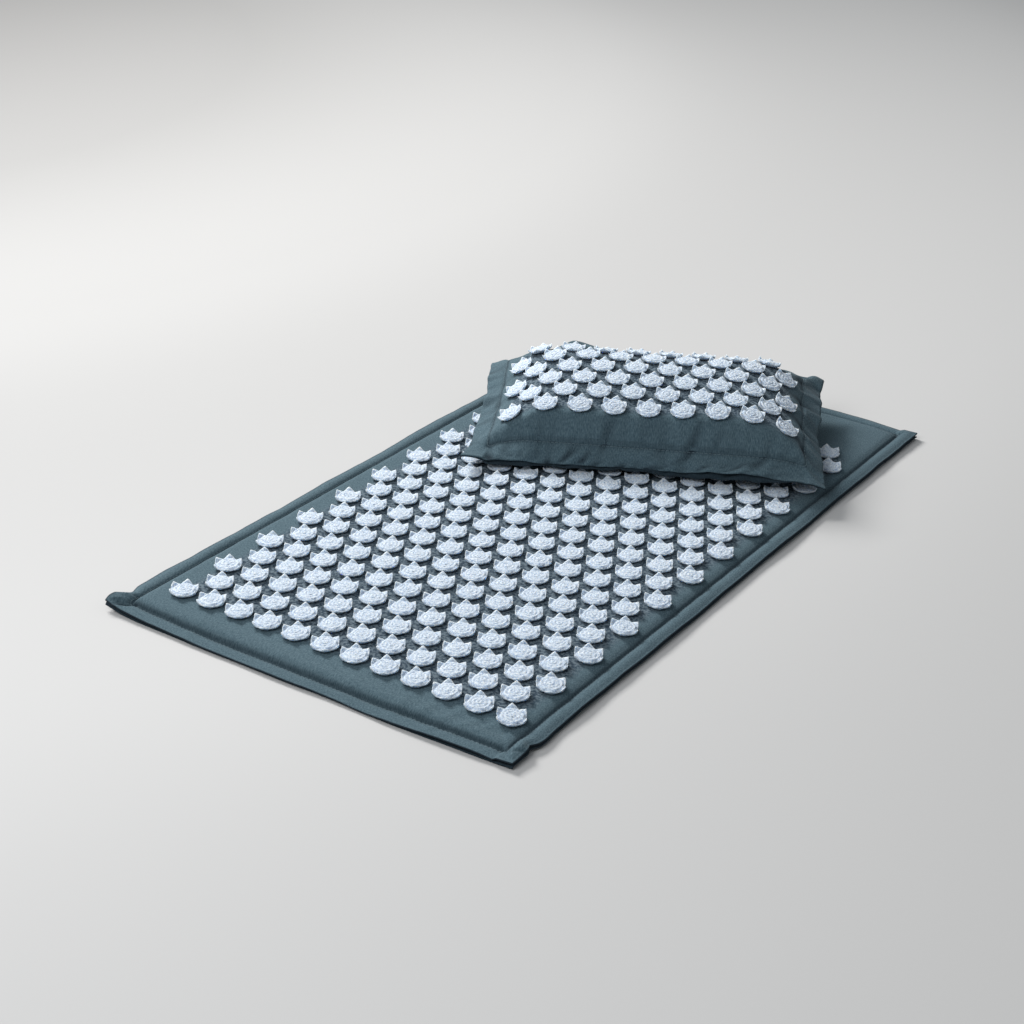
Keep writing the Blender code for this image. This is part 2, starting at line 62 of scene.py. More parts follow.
viewpoint = placed("viewpoint", bpy.data.cameras.new("viewpoint"))
right = Vector((0.83474, 0.54950, 0.03560))
down = Vector((0.27142, -0.35435, -0.89486))
ahead = Vector((-0.47911, 0.75663, -0.44493))
viewpoint.matrix_world = Matrix((right, -down, -ahead)).transposed().to_4x4()
viewpoint.location = (0.8741, -1.4517, 0.8439)
viewpoint.data.sensor_width = 36
viewpoint.data.lens = 70.79
viewpoint.data.clip_end = 60
bpy.context.scene.camera = viewpoint
bpy.context.scene.view_settings.view_transform = "Standard"


def lamp(name, place, aim, width, power, colour):
    """A square lamp at a place, turned towards its aim."""
    light = bpy.data.lights.new(name, "AREA")
    light.size = width
    light.energy = power
    light.color = colour
    holder = placed(name, light)
    holder.location = place
    holder.rotation_euler = (Vector(aim) - Vector(place)).to_track_quat("-Z", "Y").to_euler()


KEY_PLACE = (-2.05, 0.66, 1.62)
KEY_POWER = 92
FILL_PLACE = (-0.20, -1.35, 1.40)
FILL_POWER = 14
lamp("key_softbox", KEY_PLACE, (0.0, 0.0, 0.0), 0.9, KEY_POWER, (1.0, 0.995, 0.98))
lamp("front_fill", FILL_PLACE, (0.0, -0.1, 0.0), 1.0, FILL_POWER, (0.98, 0.99, 1.0))


def feed(tree, made, **values):
    """Set each named input of a node to a value, or link it to a socket."""
    for name, value in values.items():
        key = int(name[1:]) if name[0] == "_" else name.replace("_", " ")
        if isinstance(value, bpy.types.NodeSocket):
            tree.links.new(value, made.inputs[key])
        else:
            made.inputs[key].default_value = value


def node(tree, kind, settings=(), **values):
    """A new node with its settings and its inputs."""
    made = tree.nodes.new(kind)
    for name, value in dict(settings).items():
        setattr(made, name, value)
    feed(tree, made, **values)
    return made


def sum_of(tree, operation, first, second=0.0, third=0.0):
    """The result of a sum on values or sockets."""
    return node(tree, "ShaderNodeMath", {"operation": operation}, _0=first, _1=second, _2=third).outputs[0]


def new_finish(name):
    """A new material, its node tree and its shader."""
    made = bpy.data.materials.new(name)
    made.use_nodes = True
    return made, made.node_tree, made.node_tree.nodes["Principled BSDF"]


def mesh_of(name, form):
    """The form as a smooth mesh. The form itself is let go."""
    mesh = bpy.data.meshes.new(name)
    form.to_mesh(mesh)
    form.free()
    mesh.shade_smooth()
    return mesh


world = bpy.data.worlds.new("studio")
world.use_nodes = True
feed(world.node_tree, world.node_tree.nodes["Background"], Color=(0.89, 0.955, 1.0, 1), Strength=0.30)
bpy.context.scene.world = world

FLOOR_HALF = 9.0
FLOOR_REACH = 3.0
# Painted light: the floor's tone by its distance from the foot of the key lamp, in shares of
# that reach, standing in for how that lamp's light falls off over the floor
FLOOR_PAINTED_LIGHT = (
    (0.0, 0.165),
    (0.29, 0.275),
    (0.47, 0.51),
    (0.57, 0.455),
    (0.73, 0.61),
    (0.82, 0.55),
    (0.92, 0.55),
)
FLOOR_TINT = (1.012, 1.0, 0.993)
floor_form = bmesh.new()
bmesh.ops.create_grid(floor_form, x_segments=1, y_segments=1, size=FLOOR_HALF)
floor_paint, floor_tree, floor_shader = new_finish("pale floor paint")
studio_floor = placed("studio_floor", mesh_of("studio_floor", floor_form), floor_paint)
studio_floor.location.z = -0.1 * mm
floor_place = node(floor_tree, "ShaderNodeTexCoord").outputs["Object"]
below_lamp = (KEY_PLACE[0], KEY_PLACE[1], 0)
away = node(floor_tree, "ShaderNodeVectorMath", {"operation": "DISTANCE"}, _0=floor_place, _1=below_lamp)
floor_share = sum_of(floor_tree, "DIVIDE", away.outputs["Value"], FLOOR_REACH)
floor_ramp = node(floor_tree, "ShaderNodeValToRGB", Fac=floor_share)
floor_ramp.color_ramp.interpolation = "B_SPLINE"
while len(floor_ramp.color_ramp.elements) < len(FLOOR_PAINTED_LIGHT):
    floor_ramp.color_ramp.elements.new(0.5)
for element, (reach, tone) in zip(floor_ramp.color_ramp.elements, FLOOR_PAINTED_LIGHT):
    element.position = reach
    element.color = (*(tint * tone for tint in FLOOR_TINT), 1)
painted_floor_light = floor_ramp.outputs["Color"]
feed(floor_tree, floor_shader, Base_Color=painted_floor_light, Specular_IOR_Level=0.1, Roughness=0.85)


# Cotton cover of the mat
# Two layers of plain-woven cotton canvas, dyed a dark teal grey, are sewn together all round a
# little way in from their edges, so that a flat double flange stands out round the padding.

MAT_HALF_X = 205 * mm
MAT_HALF_Y = 380 * mm
MAT_FLANGE = 15 * mm
MAT_SEAM_X = MAT_HALF_X - MAT_FLANGE
MAT_SEAM_Y = MAT_HALF_Y - MAT_FLANGE
CANVAS = 1.0 * mm
FLANGE_TOP = 5.1 * mm
FLANGE_UNDER = 2.6 * mm
MAT_RISE = 4.9 * mm
MAT_CROWN = 0.8 * mm
SHOULDER = 9 * mm
BELLY = 6 * mm


def shader_group(name, inputs, outputs):
    """A group of shader nodes: its inputs with their values, and the names of its outputs."""
    group = bpy.data.node_groups.new(name, "ShaderNodeTree")
    for socket, default in inputs.items():
        made = group.interface.new_socket(socket, in_out="INPUT", socket_type="NodeSocketFloat")
        made.default_value = default
    for socket in outputs:
        group.interface.new_socket(socket, in_out="OUTPUT", socket_type="NodeSocketFloat")
    return group, group.nodes.new("NodeGroupInput").outputs, group.nodes.new("NodeGroupOutput")


def mix_of(tree, share, first, second, blend="MIX"):
    """Two colours mixed by a share, each of the three a value or a socket."""
    settings = {"data_type": "RGBA", "blend_type": blend}
    return node(tree, "ShaderNodeMix", settings, Factor=share, A=first, B=second).outputs["Result"]


def cloudy(tree, **values):
    """Cloudy noise, which changes with W if that is given."""
    settings = {"noise_dimensions": "4D" if "W" in values else "3D"}
    return node(tree, "ShaderNodeTexNoise", settings, **values).outputs["Fac"]


def painted(tree, name, kind="Fac"):
    """What a mesh says of itself at each point, under this name."""
    return node(tree, "ShaderNodeAttribute", {"attribute_name": name}).outputs[kind]


# Each set of streaks in the cloth: how its noise is stretched, and its turn
STREAKS = (((1.1, 0.16, 1.0), 0), ((0.16, 1.1, 1.0), 0), ((0.95, 0.5, 1.0), 0.7))


def woven_group():
    """Plain weave: threads that cross over and under, with thick and thin places in the yarn."""
    group, given, out = shader_group(
        "plain weave",
        {"Threads per mm": 1.7, "Slub": 0.5, "Seed": 0.0},
        ("Height", "Streaks", "Cross", "Grain"),
    )
    lay = painted(group, "cloth_lay", "Vector")
    in_mm = node(group, "ShaderNodeVectorMath", {"operation": "SCALE"}, _0=lay, Scale=1000.0).outputs[0]
    split = node(group, "ShaderNodeSeparateXYZ", _0=in_mm).outputs
    turns = sum_of(group, "MULTIPLY", given["Threads per mm"], math.pi)
    across = sum_of(group, "SINE", sum_of(group, "MULTIPLY", split["X"], turns))
    along = sum_of(group, "SINE", sum_of(group, "MULTIPLY", split["Y"], turns))
    cross = sum_of(group, "MULTIPLY", across, along)
    warp = sum_of(group, "ABSOLUTE", across)
    weft = sum_of(group, "ABSOLUTE", along)
    rib = sum_of(group, "MULTIPLY", sum_of(group, "ADD", warp, weft), 0.25)
    weave = sum_of(group, "MULTIPLY_ADD", cross, 0.25, rib)
    streaks = []
    for stretch, turn in STREAKS:
        place = node(group, "ShaderNodeMapping", _0=in_mm, Rotation=(0, 0, turn), Scale=stretch)
        streaks.append(cloudy(group, Vector=place.outputs[0], W=given["Seed"], Scale=1.0, Detail=3.0))
    grain = streaks.pop()
    both = sum_of(group, "MULTIPLY", sum_of(group, "ADD", *streaks), 0.5)
    uneven = sum_of(group, "SUBTRACT", sum_of(group, "ADD", both, grain), 1.0)
    height = sum_of(group, "ADD", weave, sum_of(group, "MULTIPLY", uneven, given["Slub"]))
    feed(group, out, Height=height, Streaks=both, Cross=cross, Grain=grain)
    return group


WEAVE = woven_group()
# Painted shade: the cloth's colour is multiplied by this where a mesh gives it a share of painted shade
PAINTED_SHADE_TONE = (0.20, 0.21, 0.24, 1)
SPECKLE_DARK = (0.016, 0.030, 0.055, 1)
SPECKLE_LIGHT = (0.165, 0.205, 0.240, 1)
RUBBED_SHARE = 0.75


def woven_cloth(name, dark, light, threads, bump):
    """A dyed woven cloth: each yarn is a little lighter or darker, and the crossings show. Where
    the discs are bonded on, the cloth between them is rubbed grey and speckled."""
    cloth, tree, shader = new_finish(name)
    weave = node(tree, "ShaderNodeGroup", {"node_tree": WEAVE}, Threads_per_mm=threads, Slub=0.9).outputs
    lay = painted(tree, "cloth_lay", "Vector")
    fade = cloudy(tree, Vector=lay, Scale=16.0, Detail=4.0, Roughness=0.6)
    shade = sum_of(tree, "MULTIPLY_ADD", fade, 0.24, -1.38)
    for effect, weight in (("Streaks", 1.1), ("Grain", 2.5), ("Cross", 0.10)):
        shade = sum_of(tree, "MULTIPLY_ADD", weave[effect], weight, shade)
    tone = mix_of(tree, shade, (*dark, 1), (*light, 1))
    lint = cloudy(tree, Vector=lay, Scale=330.0, Detail=2.0, Roughness=0.6)
    flecks = node(tree, "ShaderNodeMapRange", _0=lint, _1=0.43, _2=0.57).outputs[0]
    speckle = mix_of(tree, flecks, SPECKLE_DARK, SPECKLE_LIGHT)
    rub = sum_of(tree, "MULTIPLY", painted(tree, "field_share"), RUBBED_SHARE)
    rubbed = mix_of(tree, rub, tone, speckle)
    lift = node(tree, "ShaderNodeBump", Height=weave["Height"], Strength=bump, Distance=0.25 * mm)
    feed(
        tree,
        shader,
        # Painted shade darkens the cloth by each point's share of it
        Base_Color=mix_of(tree, painted(tree, "painted_shade_share"), rubbed, PAINTED_SHADE_TONE, "MULTIPLY"),
        Roughness=sum_of(tree, "MULTIPLY_ADD", fade, 0.12, 0.89),
        Normal=lift.outputs["Normal"],
        Sheen_Weight=0.06,
        Sheen_Roughness=0.5,
        Specular_IOR_Level=0.08,
    )
    return cloth


CANVAS_CLOTH = woven_cloth("teal cotton canvas", (0.042, 0.077, 0.098), (0.120, 0.180, 0.212), 1.7, 1.0)


def unit(value):
    """The value, held between 0 and 1."""
    return min(max(value, 0), 1)


def ramp(distance, flat, slope):
    """1 as far as the flat reaches, then eased down to 0 over the slope."""
    share = unit((flat + slope - distance) / slope)
    return share * share * (3 - 2 * share)


def quarter_round(distance, roll):
    """0 at the seam and 1 where the roll ends."""
    reach = unit(distance / roll)
    return math.sqrt(1 - (1 - reach) ** 2)


def soft_noise(x, y, size, seed):
    """Smooth noise between about -1 and 1, with bumps of about this size."""
    return 1.6 * noise.noise(Vector((x / size, y / size, seed)))


def bell(distance, width):
    return math.exp(-((distance / width) ** 2))


def seam_distance(x, y):
    """How far a place lies outside the mat's seam, which is less than 0 inside it."""
    return max(abs(x) - MAT_SEAM_X, abs(y) - MAT_SEAM_Y)


def foot_middle(x, y, inside):
    """1 along the middle of the foot's flange and 0 at its corners and some way inside its seam."""
    return ramp(y + MAT_SEAM_Y, 0, inside) * (1 - min(abs(x) / MAT_HALF_X, 1) ** 3)


SWELL = 2.9 * mm
FOOT_SWELL = 0.6 * mm
SIDE_TILT = 0.3 * mm
END_TILT = 0.8 * mm
FOOT_DROOP = 1.6 * mm
FOOT_EDGE_DROOP = 0.9 * mm


def flange_lift(x, y):
    """How the mat's flange rises and waves, which both of its layers do together."""
    outside = seam_distance(x, y)
    share = unit(outside / MAT_FLANGE)
    side = abs(x) - MAT_SEAM_X > abs(y) - MAT_SEAM_Y
    swell = (SWELL if side or y > 0 else FOOT_SWELL) + 0.7 * mm * soft_noise(x, y, 70 * mm, 3.1)
    lift = swell * math.sin(math.pi * min(share, 0.9)) + (SIDE_TILT if side else END_TILT) * share
    lift -= (FOOT_DROOP + FOOT_EDGE_DROOP * share) * foot_middle(x, y, 8 * mm)
    lift += 0.9 * mm * soft_noise(x, y, 45 * mm, 7.7) * share
    return lift + 0.25 * mm * soft_noise(x, y, 16 * mm, 1.9) * share


PUCKER_SIZE = 11 * mm
PUCKER_REACH = 7 * mm
PUCKER_RISE = 0.3 * mm


def seam_pucker(x, y):
    """Small gathers that run across the seam, where the thread has drawn the cloth together."""
    over_x = bell(abs(x) - MAT_SEAM_X, PUCKER_REACH) * soft_noise(y, math.copysign(5, x), PUCKER_SIZE, 5)
    over_y = bell(abs(y) - MAT_SEAM_Y, PUCKER_REACH) * soft_noise(x, math.copysign(5, y), PUCKER_SIZE, 9)
    if abs(y) > MAT_SEAM_Y + PUCKER_REACH:
        over_x = 0
    if abs(x) > MAT_SEAM_X + PUCKER_REACH:
        over_y = 0
    return PUCKER_RISE * (over_x + over_y)


# Each crease, in mm: its middle, its direction in degrees, its half length, width and height
FOOT_CREASES = (
    (150, -352, 62, 22, 3.2, 1.1),
    (132, -353, 70, 20, 3.6, 0.9),
    (112, -352, 66, 18, 3.4, 0.8),
    (168, -344, 52, 24, 3.0, 0.9),
    (90, -354, 80, 16, 4.0, 0.6),
    (40, -354, 98, 16, 4.5, 0.35),
    (-30, -354, 84, 18, 5.0, 0.3),
    (-120, -354, 100, 18, 5.0, 0.3),
    (183, -310, 25, 16, 3.4, 0.5),
    (182, -262, 14, 18, 3.6, 0.4),
    (-191, -371, 48, 9, 1.7, -2.2),
    (-199, -363, 40, 8, 2.2, 1.4),
    (-194, -357, 20, 6, 2.0, -2.2),
    (199, -366, 30, 6, 1.6, -1.2),
)


def creases(x, y, table):
    """The height that a table of soft folds adds to a place."""
    total = 0
    for middle_x, middle_y, turn, half, width, height in table:
        away_x, away_y = x / mm - middle_x, y / mm - middle_y
        angle = math.radians(turn)
        on = away_x * math.cos(angle) + away_y * math.sin(angle)
        off = away_y * math.cos(angle) - away_x * math.sin(angle)
        if abs(on) < 3 * half and abs(off) < 3 * width:
            total += height * mm * bell(on, half) * bell(off, width)
    return total


# Where the flange near the foot's corners is drawn out or in, in mm: how far it is from the
# foot's edge, its half length, how far it is drawn out, and how high it stands
LEFT_DRAWS = ((8, 11, 3.5, 3.6), (27, 6, -2.5, -1.2))
RIGHT_DRAWS = ((29, 4.5, -2.8, 0), (45, 11, 1.4, 0))


def side_draw(x, y):
    """How far the flange at a place is moved along X, and how high it stands."""
    share = unit((abs(x) - MAT_SEAM_X) / MAT_FLANGE)
    moved, lift = 0, 0
    for from_edge, half, reach, high in LEFT_DRAWS if x < 0 else RIGHT_DRAWS:
        near = share * mm * bell((y + MAT_HALF_Y) / mm - from_edge, half)
        moved += math.copysign(near, x) * reach
        lift += near * high
    return moved, lift


LAP_X = 199 * mm
LAP_Y = -359 * mm
LAP_RISE = 2.6 * mm


def corner_lap(x, y):
    """The right side's flange laps over the foot's at their corner and stands up a little."""
    return LAP_RISE * bell(x - LAP_X, 6 * mm) * bell(y - LAP_Y, 8 * mm)


SAG_LENGTH = 125 * mm
SAG_WIDTH = 62 * mm
SAG_DEPTH = 3.4 * mm
FALL_REACH = 30 * mm
FALL_DEPTH = 2.2 * mm


def corner_sag(x, y):
    """The foam stops short of the right foot corner, so that the cover slopes off there."""
    away = math.hypot((x - MAT_SEAM_X) / SAG_LENGTH, (y + MAT_SEAM_Y) / SAG_WIDTH)
    inside = max(-seam_distance(x, y), 0)
    return SAG_DEPTH * max(1 - away, 0) ** 1.5 * min(inside / (12 * mm), 1)


def side_fall(x):
    """The padding thins out towards the right side, so that the cover slopes down there."""
    near = unit((x - MAT_SEAM_X) / FALL_REACH + 1)
    return FALL_DEPTH * near * near * unit((MAT_SEAM_X - x) / (3 * mm))


HEM_DRIFT = 0.8 * mm
FOOT_BOW = 4.6 * mm


def mat_plan(x, y):
    """Where a place on the flat cloth lies once the cover is sewn and filled."""
    share = max(seam_distance(x, y) / MAT_FLANGE, 0)
    drift = HEM_DRIFT * share
    drawn, lift = side_draw(x, y)
    moved_x = x + drift * soft_noise(y, x, 60 * mm, 11.3) + drawn
    moved_y = y + drift * soft_noise(x, y, 60 * mm, 17.9) - FOOT_BOW * foot_middle(x, y, 24 * mm)
    return moved_x, moved_y, lift


GROOVE_DEPTH = 1.2 * mm
GROOVE_WIDTH = 1.8 * mm


def seam_groove(x, y):
    """How far the stitching draws both layers down into a groove."""
    from_middle = seam_distance(x, y) - 0.4 * mm
    return GROOVE_DEPTH * bell(from_middle, GROOVE_WIDTH)


def rolled(x, y, roll, inset=0):
    """0 outside the mat's seam and 1 inside it, round over its edges and corners."""
    over_x = quarter_round(MAT_SEAM_X - abs(x) - inset, roll)
    return over_x * quarter_round(MAT_SEAM_Y - abs(y) - inset, roll)


def mat_top_height(x, y):
    """The height of the cover's upper face."""
    rise = MAT_RISE * rolled(x, y, SHOULDER)
    crown = MAT_CROWN * max(1 - (x / MAT_SEAM_X) ** 2, 0) * max(1 - (y / MAT_SEAM_Y) ** 2, 0)
    outside = seam_distance(x, y)
    groove = seam_groove(x, y) + 0.4 * mm * bell(outside - 0.4 * mm, 1.6 * mm)
    folds = creases(x, y, FOOT_CREASES) + 0.12 * mm * soft_noise(x, y, 28 * mm, 23.0)
    folds += corner_lap(x, y) - corner_sag(x, y) - side_fall(x)
    return FLANGE_TOP + rise + crown - groove + seam_pucker(x, y) + folds + flange_lift(x, y)


LOWEST_TOP = 2.1 * mm


def mat_top_shape(x, y):
    """Where a place on the flat cloth lies on the cover's upper face."""
    moved_x, moved_y, lift = mat_plan(x, y)
    return moved_x, moved_y, max(mat_top_height(x, y) + lift, LOWEST_TOP)


EAR_X = -203 * mm
EAR_Y = -371 * mm


def mat_painted_shade_share(x, y):
    """The share of painted shade at a place: in the seam's groove, down in creases, round the ear
    at the left foot corner, and full along the flange's cut edge.
    """
    outside = seam_distance(x, y)
    if outside > MAT_FLANGE - 0.1 * mm:
        return 1.0
    ear = 0.35 * bell(math.hypot(x - EAR_X, y - EAR_Y), 8 * mm)
    return min(0.6 * bell(outside, 2.4 * mm) + max(-0.3 * creases(x, y, FOOT_CREASES) / mm, 0) + ear, 1)


FIELD_SHIFT = 6 * mm
FIELD_MIDDLE = -34.5 * mm
FIELD_HALF_X = 174 * mm
FIELD_HALF_Y = 303 * mm
FIELD_FADE = 9 * mm
# Share of painted shade on a lower flange layer, which lies in the upper layer's shade
SHADED_SHARE = 0.9


def mat_field_share(x, y):
    """1 on the part of the cover that the discs stand on, and 0 round it."""
    inside = min(FIELD_HALF_X - abs(x - FIELD_SHIFT), FIELD_HALF_Y - abs(y - FIELD_MIDDLE))
    return unit(inside / FIELD_FADE)


def mat_base_painted_shade_share(x, y):
    """Painted shade: the lower layer of the flange is darkened, where it lies in the shade of
    the upper one.
    """
    return SHADED_SHARE if seam_distance(x, y) > 0 else 0.0


def lines_between(low, high, step):
    """Even lines about a step apart, without the last one."""
    count = max(round((high - low) / step), 1)
    return [low + (high - low) * number / count for number in range(count)]


NEAR_SEAM = 14 * mm


def lay_lines(half, seam, fine, coarse):
    """Thread lines from one edge to the other, close together round the seams."""
    near = seam - NEAR_SEAM
    lines = lines_between(-half, -near, fine) + lines_between(-near, near, coarse)
    return [*lines, *lines_between(near, half, fine), half]


def nowhere(x, y):
    return 0.0


def laid_cloth(name, xs, ys, shape, thickness_side, cloth, sunk=nowhere, field=nowhere):
    """A woven panel: a fine grid of thread lines put in shape, then given its thickness."""
    form = bmesh.new()
    bmesh.ops.create_grid(form, x_segments=len(xs) - 1, y_segments=len(ys) - 1, size=1)
    lay = form.verts.layers.float_vector.new("cloth_lay")
    # Each point's share of painted shade, from the sunk function, darkens the cloth's colour
    painted_shade_share = form.verts.layers.float.new("painted_shade_share")
    field_share = form.verts.layers.float.new("field_share")
    for vert in form.verts:
        x = xs[round((vert.co.x + 1) / 2 * (len(xs) - 1))]
        y = ys[round((vert.co.y + 1) / 2 * (len(ys) - 1))]
        vert[lay] = (x, y, 0)
        vert[painted_shade_share] = sunk(x, y)
        vert[field_share] = field(x, y)
        vert.co = shape(x, y)
    panel = placed(name, mesh_of(name, form), cloth)
    thick = panel.modifiers.new("cloth", "SOLIDIFY")
    thick.thickness = CANVAS
    thick.offset = thickness_side
    return panel


mat_cover_top = laid_cloth(
    "mat_cover_top",
    lay_lines(MAT_HALF_X, MAT_SEAM_X, 1.1 * mm, 3.2 * mm),
    lay_lines(MAT_HALF_Y, MAT_SEAM_Y, 1.1 * mm, 3.2 * mm),
    mat_top_shape,
    -1,
    CANVAS_CLOTH,
    mat_painted_shade_share,
    mat_field_share,
)
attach(mat_cover_top, "mat")
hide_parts("mat_top_panel")


# Base of the mat's cover
# The underside is the same canvas in two panels, which meet at the zip near the head end and
# rise a little over it, so that the zip lies sunk in a shallow channel clear of the floor.

ZIP_Y = 300 * mm
CHANNEL_HALF = 12.8 * mm
CHANNEL_REACH = 158 * mm
CHANNEL_SLOPE = 8 * mm
LIP_EDGE = 4.5 * mm
LIP_TURN = 0.6 * mm
LIPS_APART = 0.3 * mm
NEAR_ZIP = 24 * mm
tape_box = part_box("mat_zip_tape_foot")
ZIP_LEVEL = (tape_box[0].z + tape_box[1].z) / 2
BASE_LIFT = ZIP_LEVEL - 0.55 * mm - 1.1 * mm
MOUTH_REACH = min(-tape_box[0].x, tape_box[1].x) - 7 * mm
MOUTH_SLOPE = 5 * mm
SIDE_HEM_DROP = 1.6 * mm
END_HEM_DROP = 2.6 * mm
FOOT_TUCK = 2.2 * mm
LOWEST_BASE = 0.02 * mm


def mat_base_shape(side):
    """The shape of one panel of the underside, with side 1 at the head and -1 at the foot."""

    def shape(x, y):
        over = ramp(abs(y - ZIP_Y), CHANNEL_HALF, CHANNEL_SLOPE)
        over *= ramp(abs(x), CHANNEL_REACH, CHANNEL_SLOPE)
        if abs(y - ZIP_Y) < 0.01 * mm:
            open_share = ramp(abs(x), MOUTH_REACH, MOUTH_SLOPE)
            y += side * (LIPS_APART + (LIP_EDGE - LIPS_APART) * open_share)
        drop = rolled(x, y, BELLY)
        moved_x, moved_y, lift = mat_plan(x, y)
        level = FLANGE_UNDER * (1 - drop) + BASE_LIFT * over + flange_lift(x, y) + lift
        hem_share = unit(seam_distance(x, y) / MAT_FLANGE)
        hem_drop = SIDE_HEM_DROP if abs(x) - MAT_SEAM_X > abs(y) - MAT_SEAM_Y else END_HEM_DROP
        level -= 0.8 * seam_groove(x, y) + hem_drop * hem_share
        tuck = FOOT_TUCK * hem_share * foot_middle(x, y, 8 * mm)
        return moved_x, moved_y + tuck, max(level, LOWEST_BASE)

    return shape


base_xs = lay_lines(MAT_HALF_X, MAT_SEAM_X, 1.4 * mm, 4 * mm)
to_zip = lines_between(-MAT_HALF_Y, NEAR_SEAM - MAT_SEAM_Y, 1.4 * mm)
to_zip += lines_between(NEAR_SEAM - MAT_SEAM_Y, ZIP_Y - NEAR_ZIP, 4 * mm)
to_zip += lines_between(ZIP_Y - NEAR_ZIP, ZIP_Y - LIP_EDGE, 1.4 * mm)
from_zip = lines_between(ZIP_Y + LIP_EDGE + LIP_TURN, MAT_HALF_Y, 1.4 * mm)
for panel_name, panel_ys, panel_side in (
    ("foot", [*to_zip[:-2], ZIP_Y - LIP_EDGE - LIP_TURN, ZIP_Y], -1),
    ("head", [ZIP_Y, *from_zip, MAT_HALF_Y], 1),
):
    base_panel = laid_cloth(
        f"mat_cover_base_{panel_name}",
        base_xs,
        panel_ys,
        mat_base_shape(panel_side),
        1,
        CANVAS_CLOTH,
        mat_base_painted_shade_share,
    )
    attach(base_panel, "mat")
    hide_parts(f"mat_base_panel_{panel_name}")


# Foam core of the mat
# A thin slab of open-cell foam fills the cover from seam to seam. It is cut hollow underneath
# along the zip, and nothing of it shows once the zip is closed.


def mottle_group():
    """Cloudy light and dark patches with a fine grain, and a height to go with them."""
    group, given, out = shader_group(
        "fine mottle",
        {"Patch size mm": 6.0, "Grain size mm": 0.8, "Grain": 0.5, "Seed": 0.0},
        ("Patches", "Height"),
    )
    place = node(group, "ShaderNodeTexCoord").outputs["Object"]
    found = []
    for size in ("Patch size mm", "Grain size mm"):
        scale = sum_of(group, "DIVIDE", 1000.0, given[size])
        cloud = cloudy(group, Vector=place, W=given["Seed"], Scale=scale, Detail=3.0, Roughness=0.6)
        found.append(cloud)
    patches, grain = found
    mixed = sum_of(group, "MULTIPLY", grain, given["Grain"])
    feed(group, out, Patches=patches, Height=sum_of(group, "ADD", patches, mixed))
    return group


MOTTLE = mottle_group()


def mottled(name, dark, light, roughness, patch, grain, bump, depth, contrast=1.0):
    """A plain material with cloudy tone and a fine uneven surface. Its patches and its grain are
    given by their size in mm, and its bumps by their strength and depth."""
    made, tree, shader = new_finish(name)
    settings = {"node_tree": MOTTLE}
    mottle = node(tree, "ShaderNodeGroup", settings, Patch_size_mm=patch, Grain_size_mm=grain).outputs
    reach = 0.2 / contrast
    spread = node(tree, "ShaderNodeMapRange", _0=mottle["Patches"], _1=0.5 - reach, _2=0.5 + reach)
    tone = mix_of(tree, spread.outputs[0], (*dark, 1), (*light, 1))
    rough = sum_of(tree, "MULTIPLY_ADD", mottle["Patches"], 0.14, roughness - 0.07)
    lift = node(tree, "ShaderNodeBump", Height=mottle["Height"], Strength=bump, Distance=depth)
    feed(tree, shader, Base_Color=tone, Roughness=rough, Normal=lift.outputs["Normal"])
    return made


FOAM = mottled("open-cell foam", (0.62, 0.60, 0.52), (0.74, 0.72, 0.65), 0.95, 5.0, 0.5, 0.9, 0.4 * mm)
FOAM_INSET = 1.6 * mm


def soft_block(name, xs, ys, under, over, filling):
    """A soft block between two surfaces that start from the same net of lines."""
    form = bmesh.new()
    bmesh.ops.create_grid(form, x_segments=len(xs) - 1, y_segments=len(ys) - 1, size=1)
    for vert in form.verts:
        vert.co.x = xs[round((vert.co.x + 1) / 2 * (len(xs) - 1))]
        vert.co.y = ys[round((vert.co.y + 1) / 2 * (len(ys) - 1))]
    upper = set(form.verts)
    bmesh.ops.solidify(form, geom=form.faces[:], thickness=-CANVAS)
    for vert in form.verts:
        surface = over if vert in upper else under
        vert.co = surface(vert.co.x, vert.co.y)
    bmesh.ops.recalc_face_normals(form, faces=form.faces)
    return placed(name, mesh_of(name, form), filling)


def foam_over(x, y):
    """The foam's upper face, a little below the cover's."""
    level = FLANGE_TOP + (MAT_RISE - 0.2 * mm) * rolled(x, y, SHOULDER, FOAM_INSET) - FOAM_INSET
    return x, y, level - corner_sag(x, y) - side_fall(x)


def foam_under(x, y):
    """The foam's lower face, which rises clear of the zip."""
    low = (FLANGE_UNDER - 0.3 * mm) * (1 - rolled(x, y, BELLY, FOAM_INSET)) + FOAM_INSET
    over = ramp(abs(y - ZIP_Y), CHANNEL_HALF + CHANNEL_SLOPE, CHANNEL_SLOPE)
    over *= ramp(abs(x), CHANNEL_REACH + CHANNEL_SLOPE, CHANNEL_SLOPE)
    return x, y, low + (ZIP_LEVEL + 1.5 * mm - low) * over


def block_lines(half, step):
    """Lines from one side to the other, closer together towards both."""
    ease = [half - edge * mm for edge in (0, 0.4, 1.2, 2.5, 4.5, 7, 10)]
    inner = lines_between(-ease[-1], ease[-1], step)
    return [*(-line for line in ease[:-1]), *inner, *reversed(ease)]


mat_foam = soft_block(
    "mat_foam_slab",
    block_lines(MAT_SEAM_X - FOAM_INSET - 0.5 * mm, 6 * mm),
    block_lines(MAT_SEAM_Y - FOAM_INSET - 0.5 * mm, 6 * mm),
    foam_under,
    foam_over,
    FOAM,
)
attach(mat_foam, "mat")
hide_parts("mat_foam_core")


# Topstitching of the mat
# One line of lockstitch in matching thread closes the cover just outside the padding. Each
# stitch is a short length of twisted thread that dips into the cloth at both ends.

THREAD = 0.55 * mm
STITCH = 3.4 * mm
STITCH_GAP = 0.7 * mm
MAT_STITCH_OUT = 2.0 * mm
THREAD_FINISH = mottled(
    "twisted sewing thread", (0.080, 0.128, 0.152), (0.135, 0.195, 0.225), 0.8, 1.5, 0.3, 0.6, 0.1 * mm
)


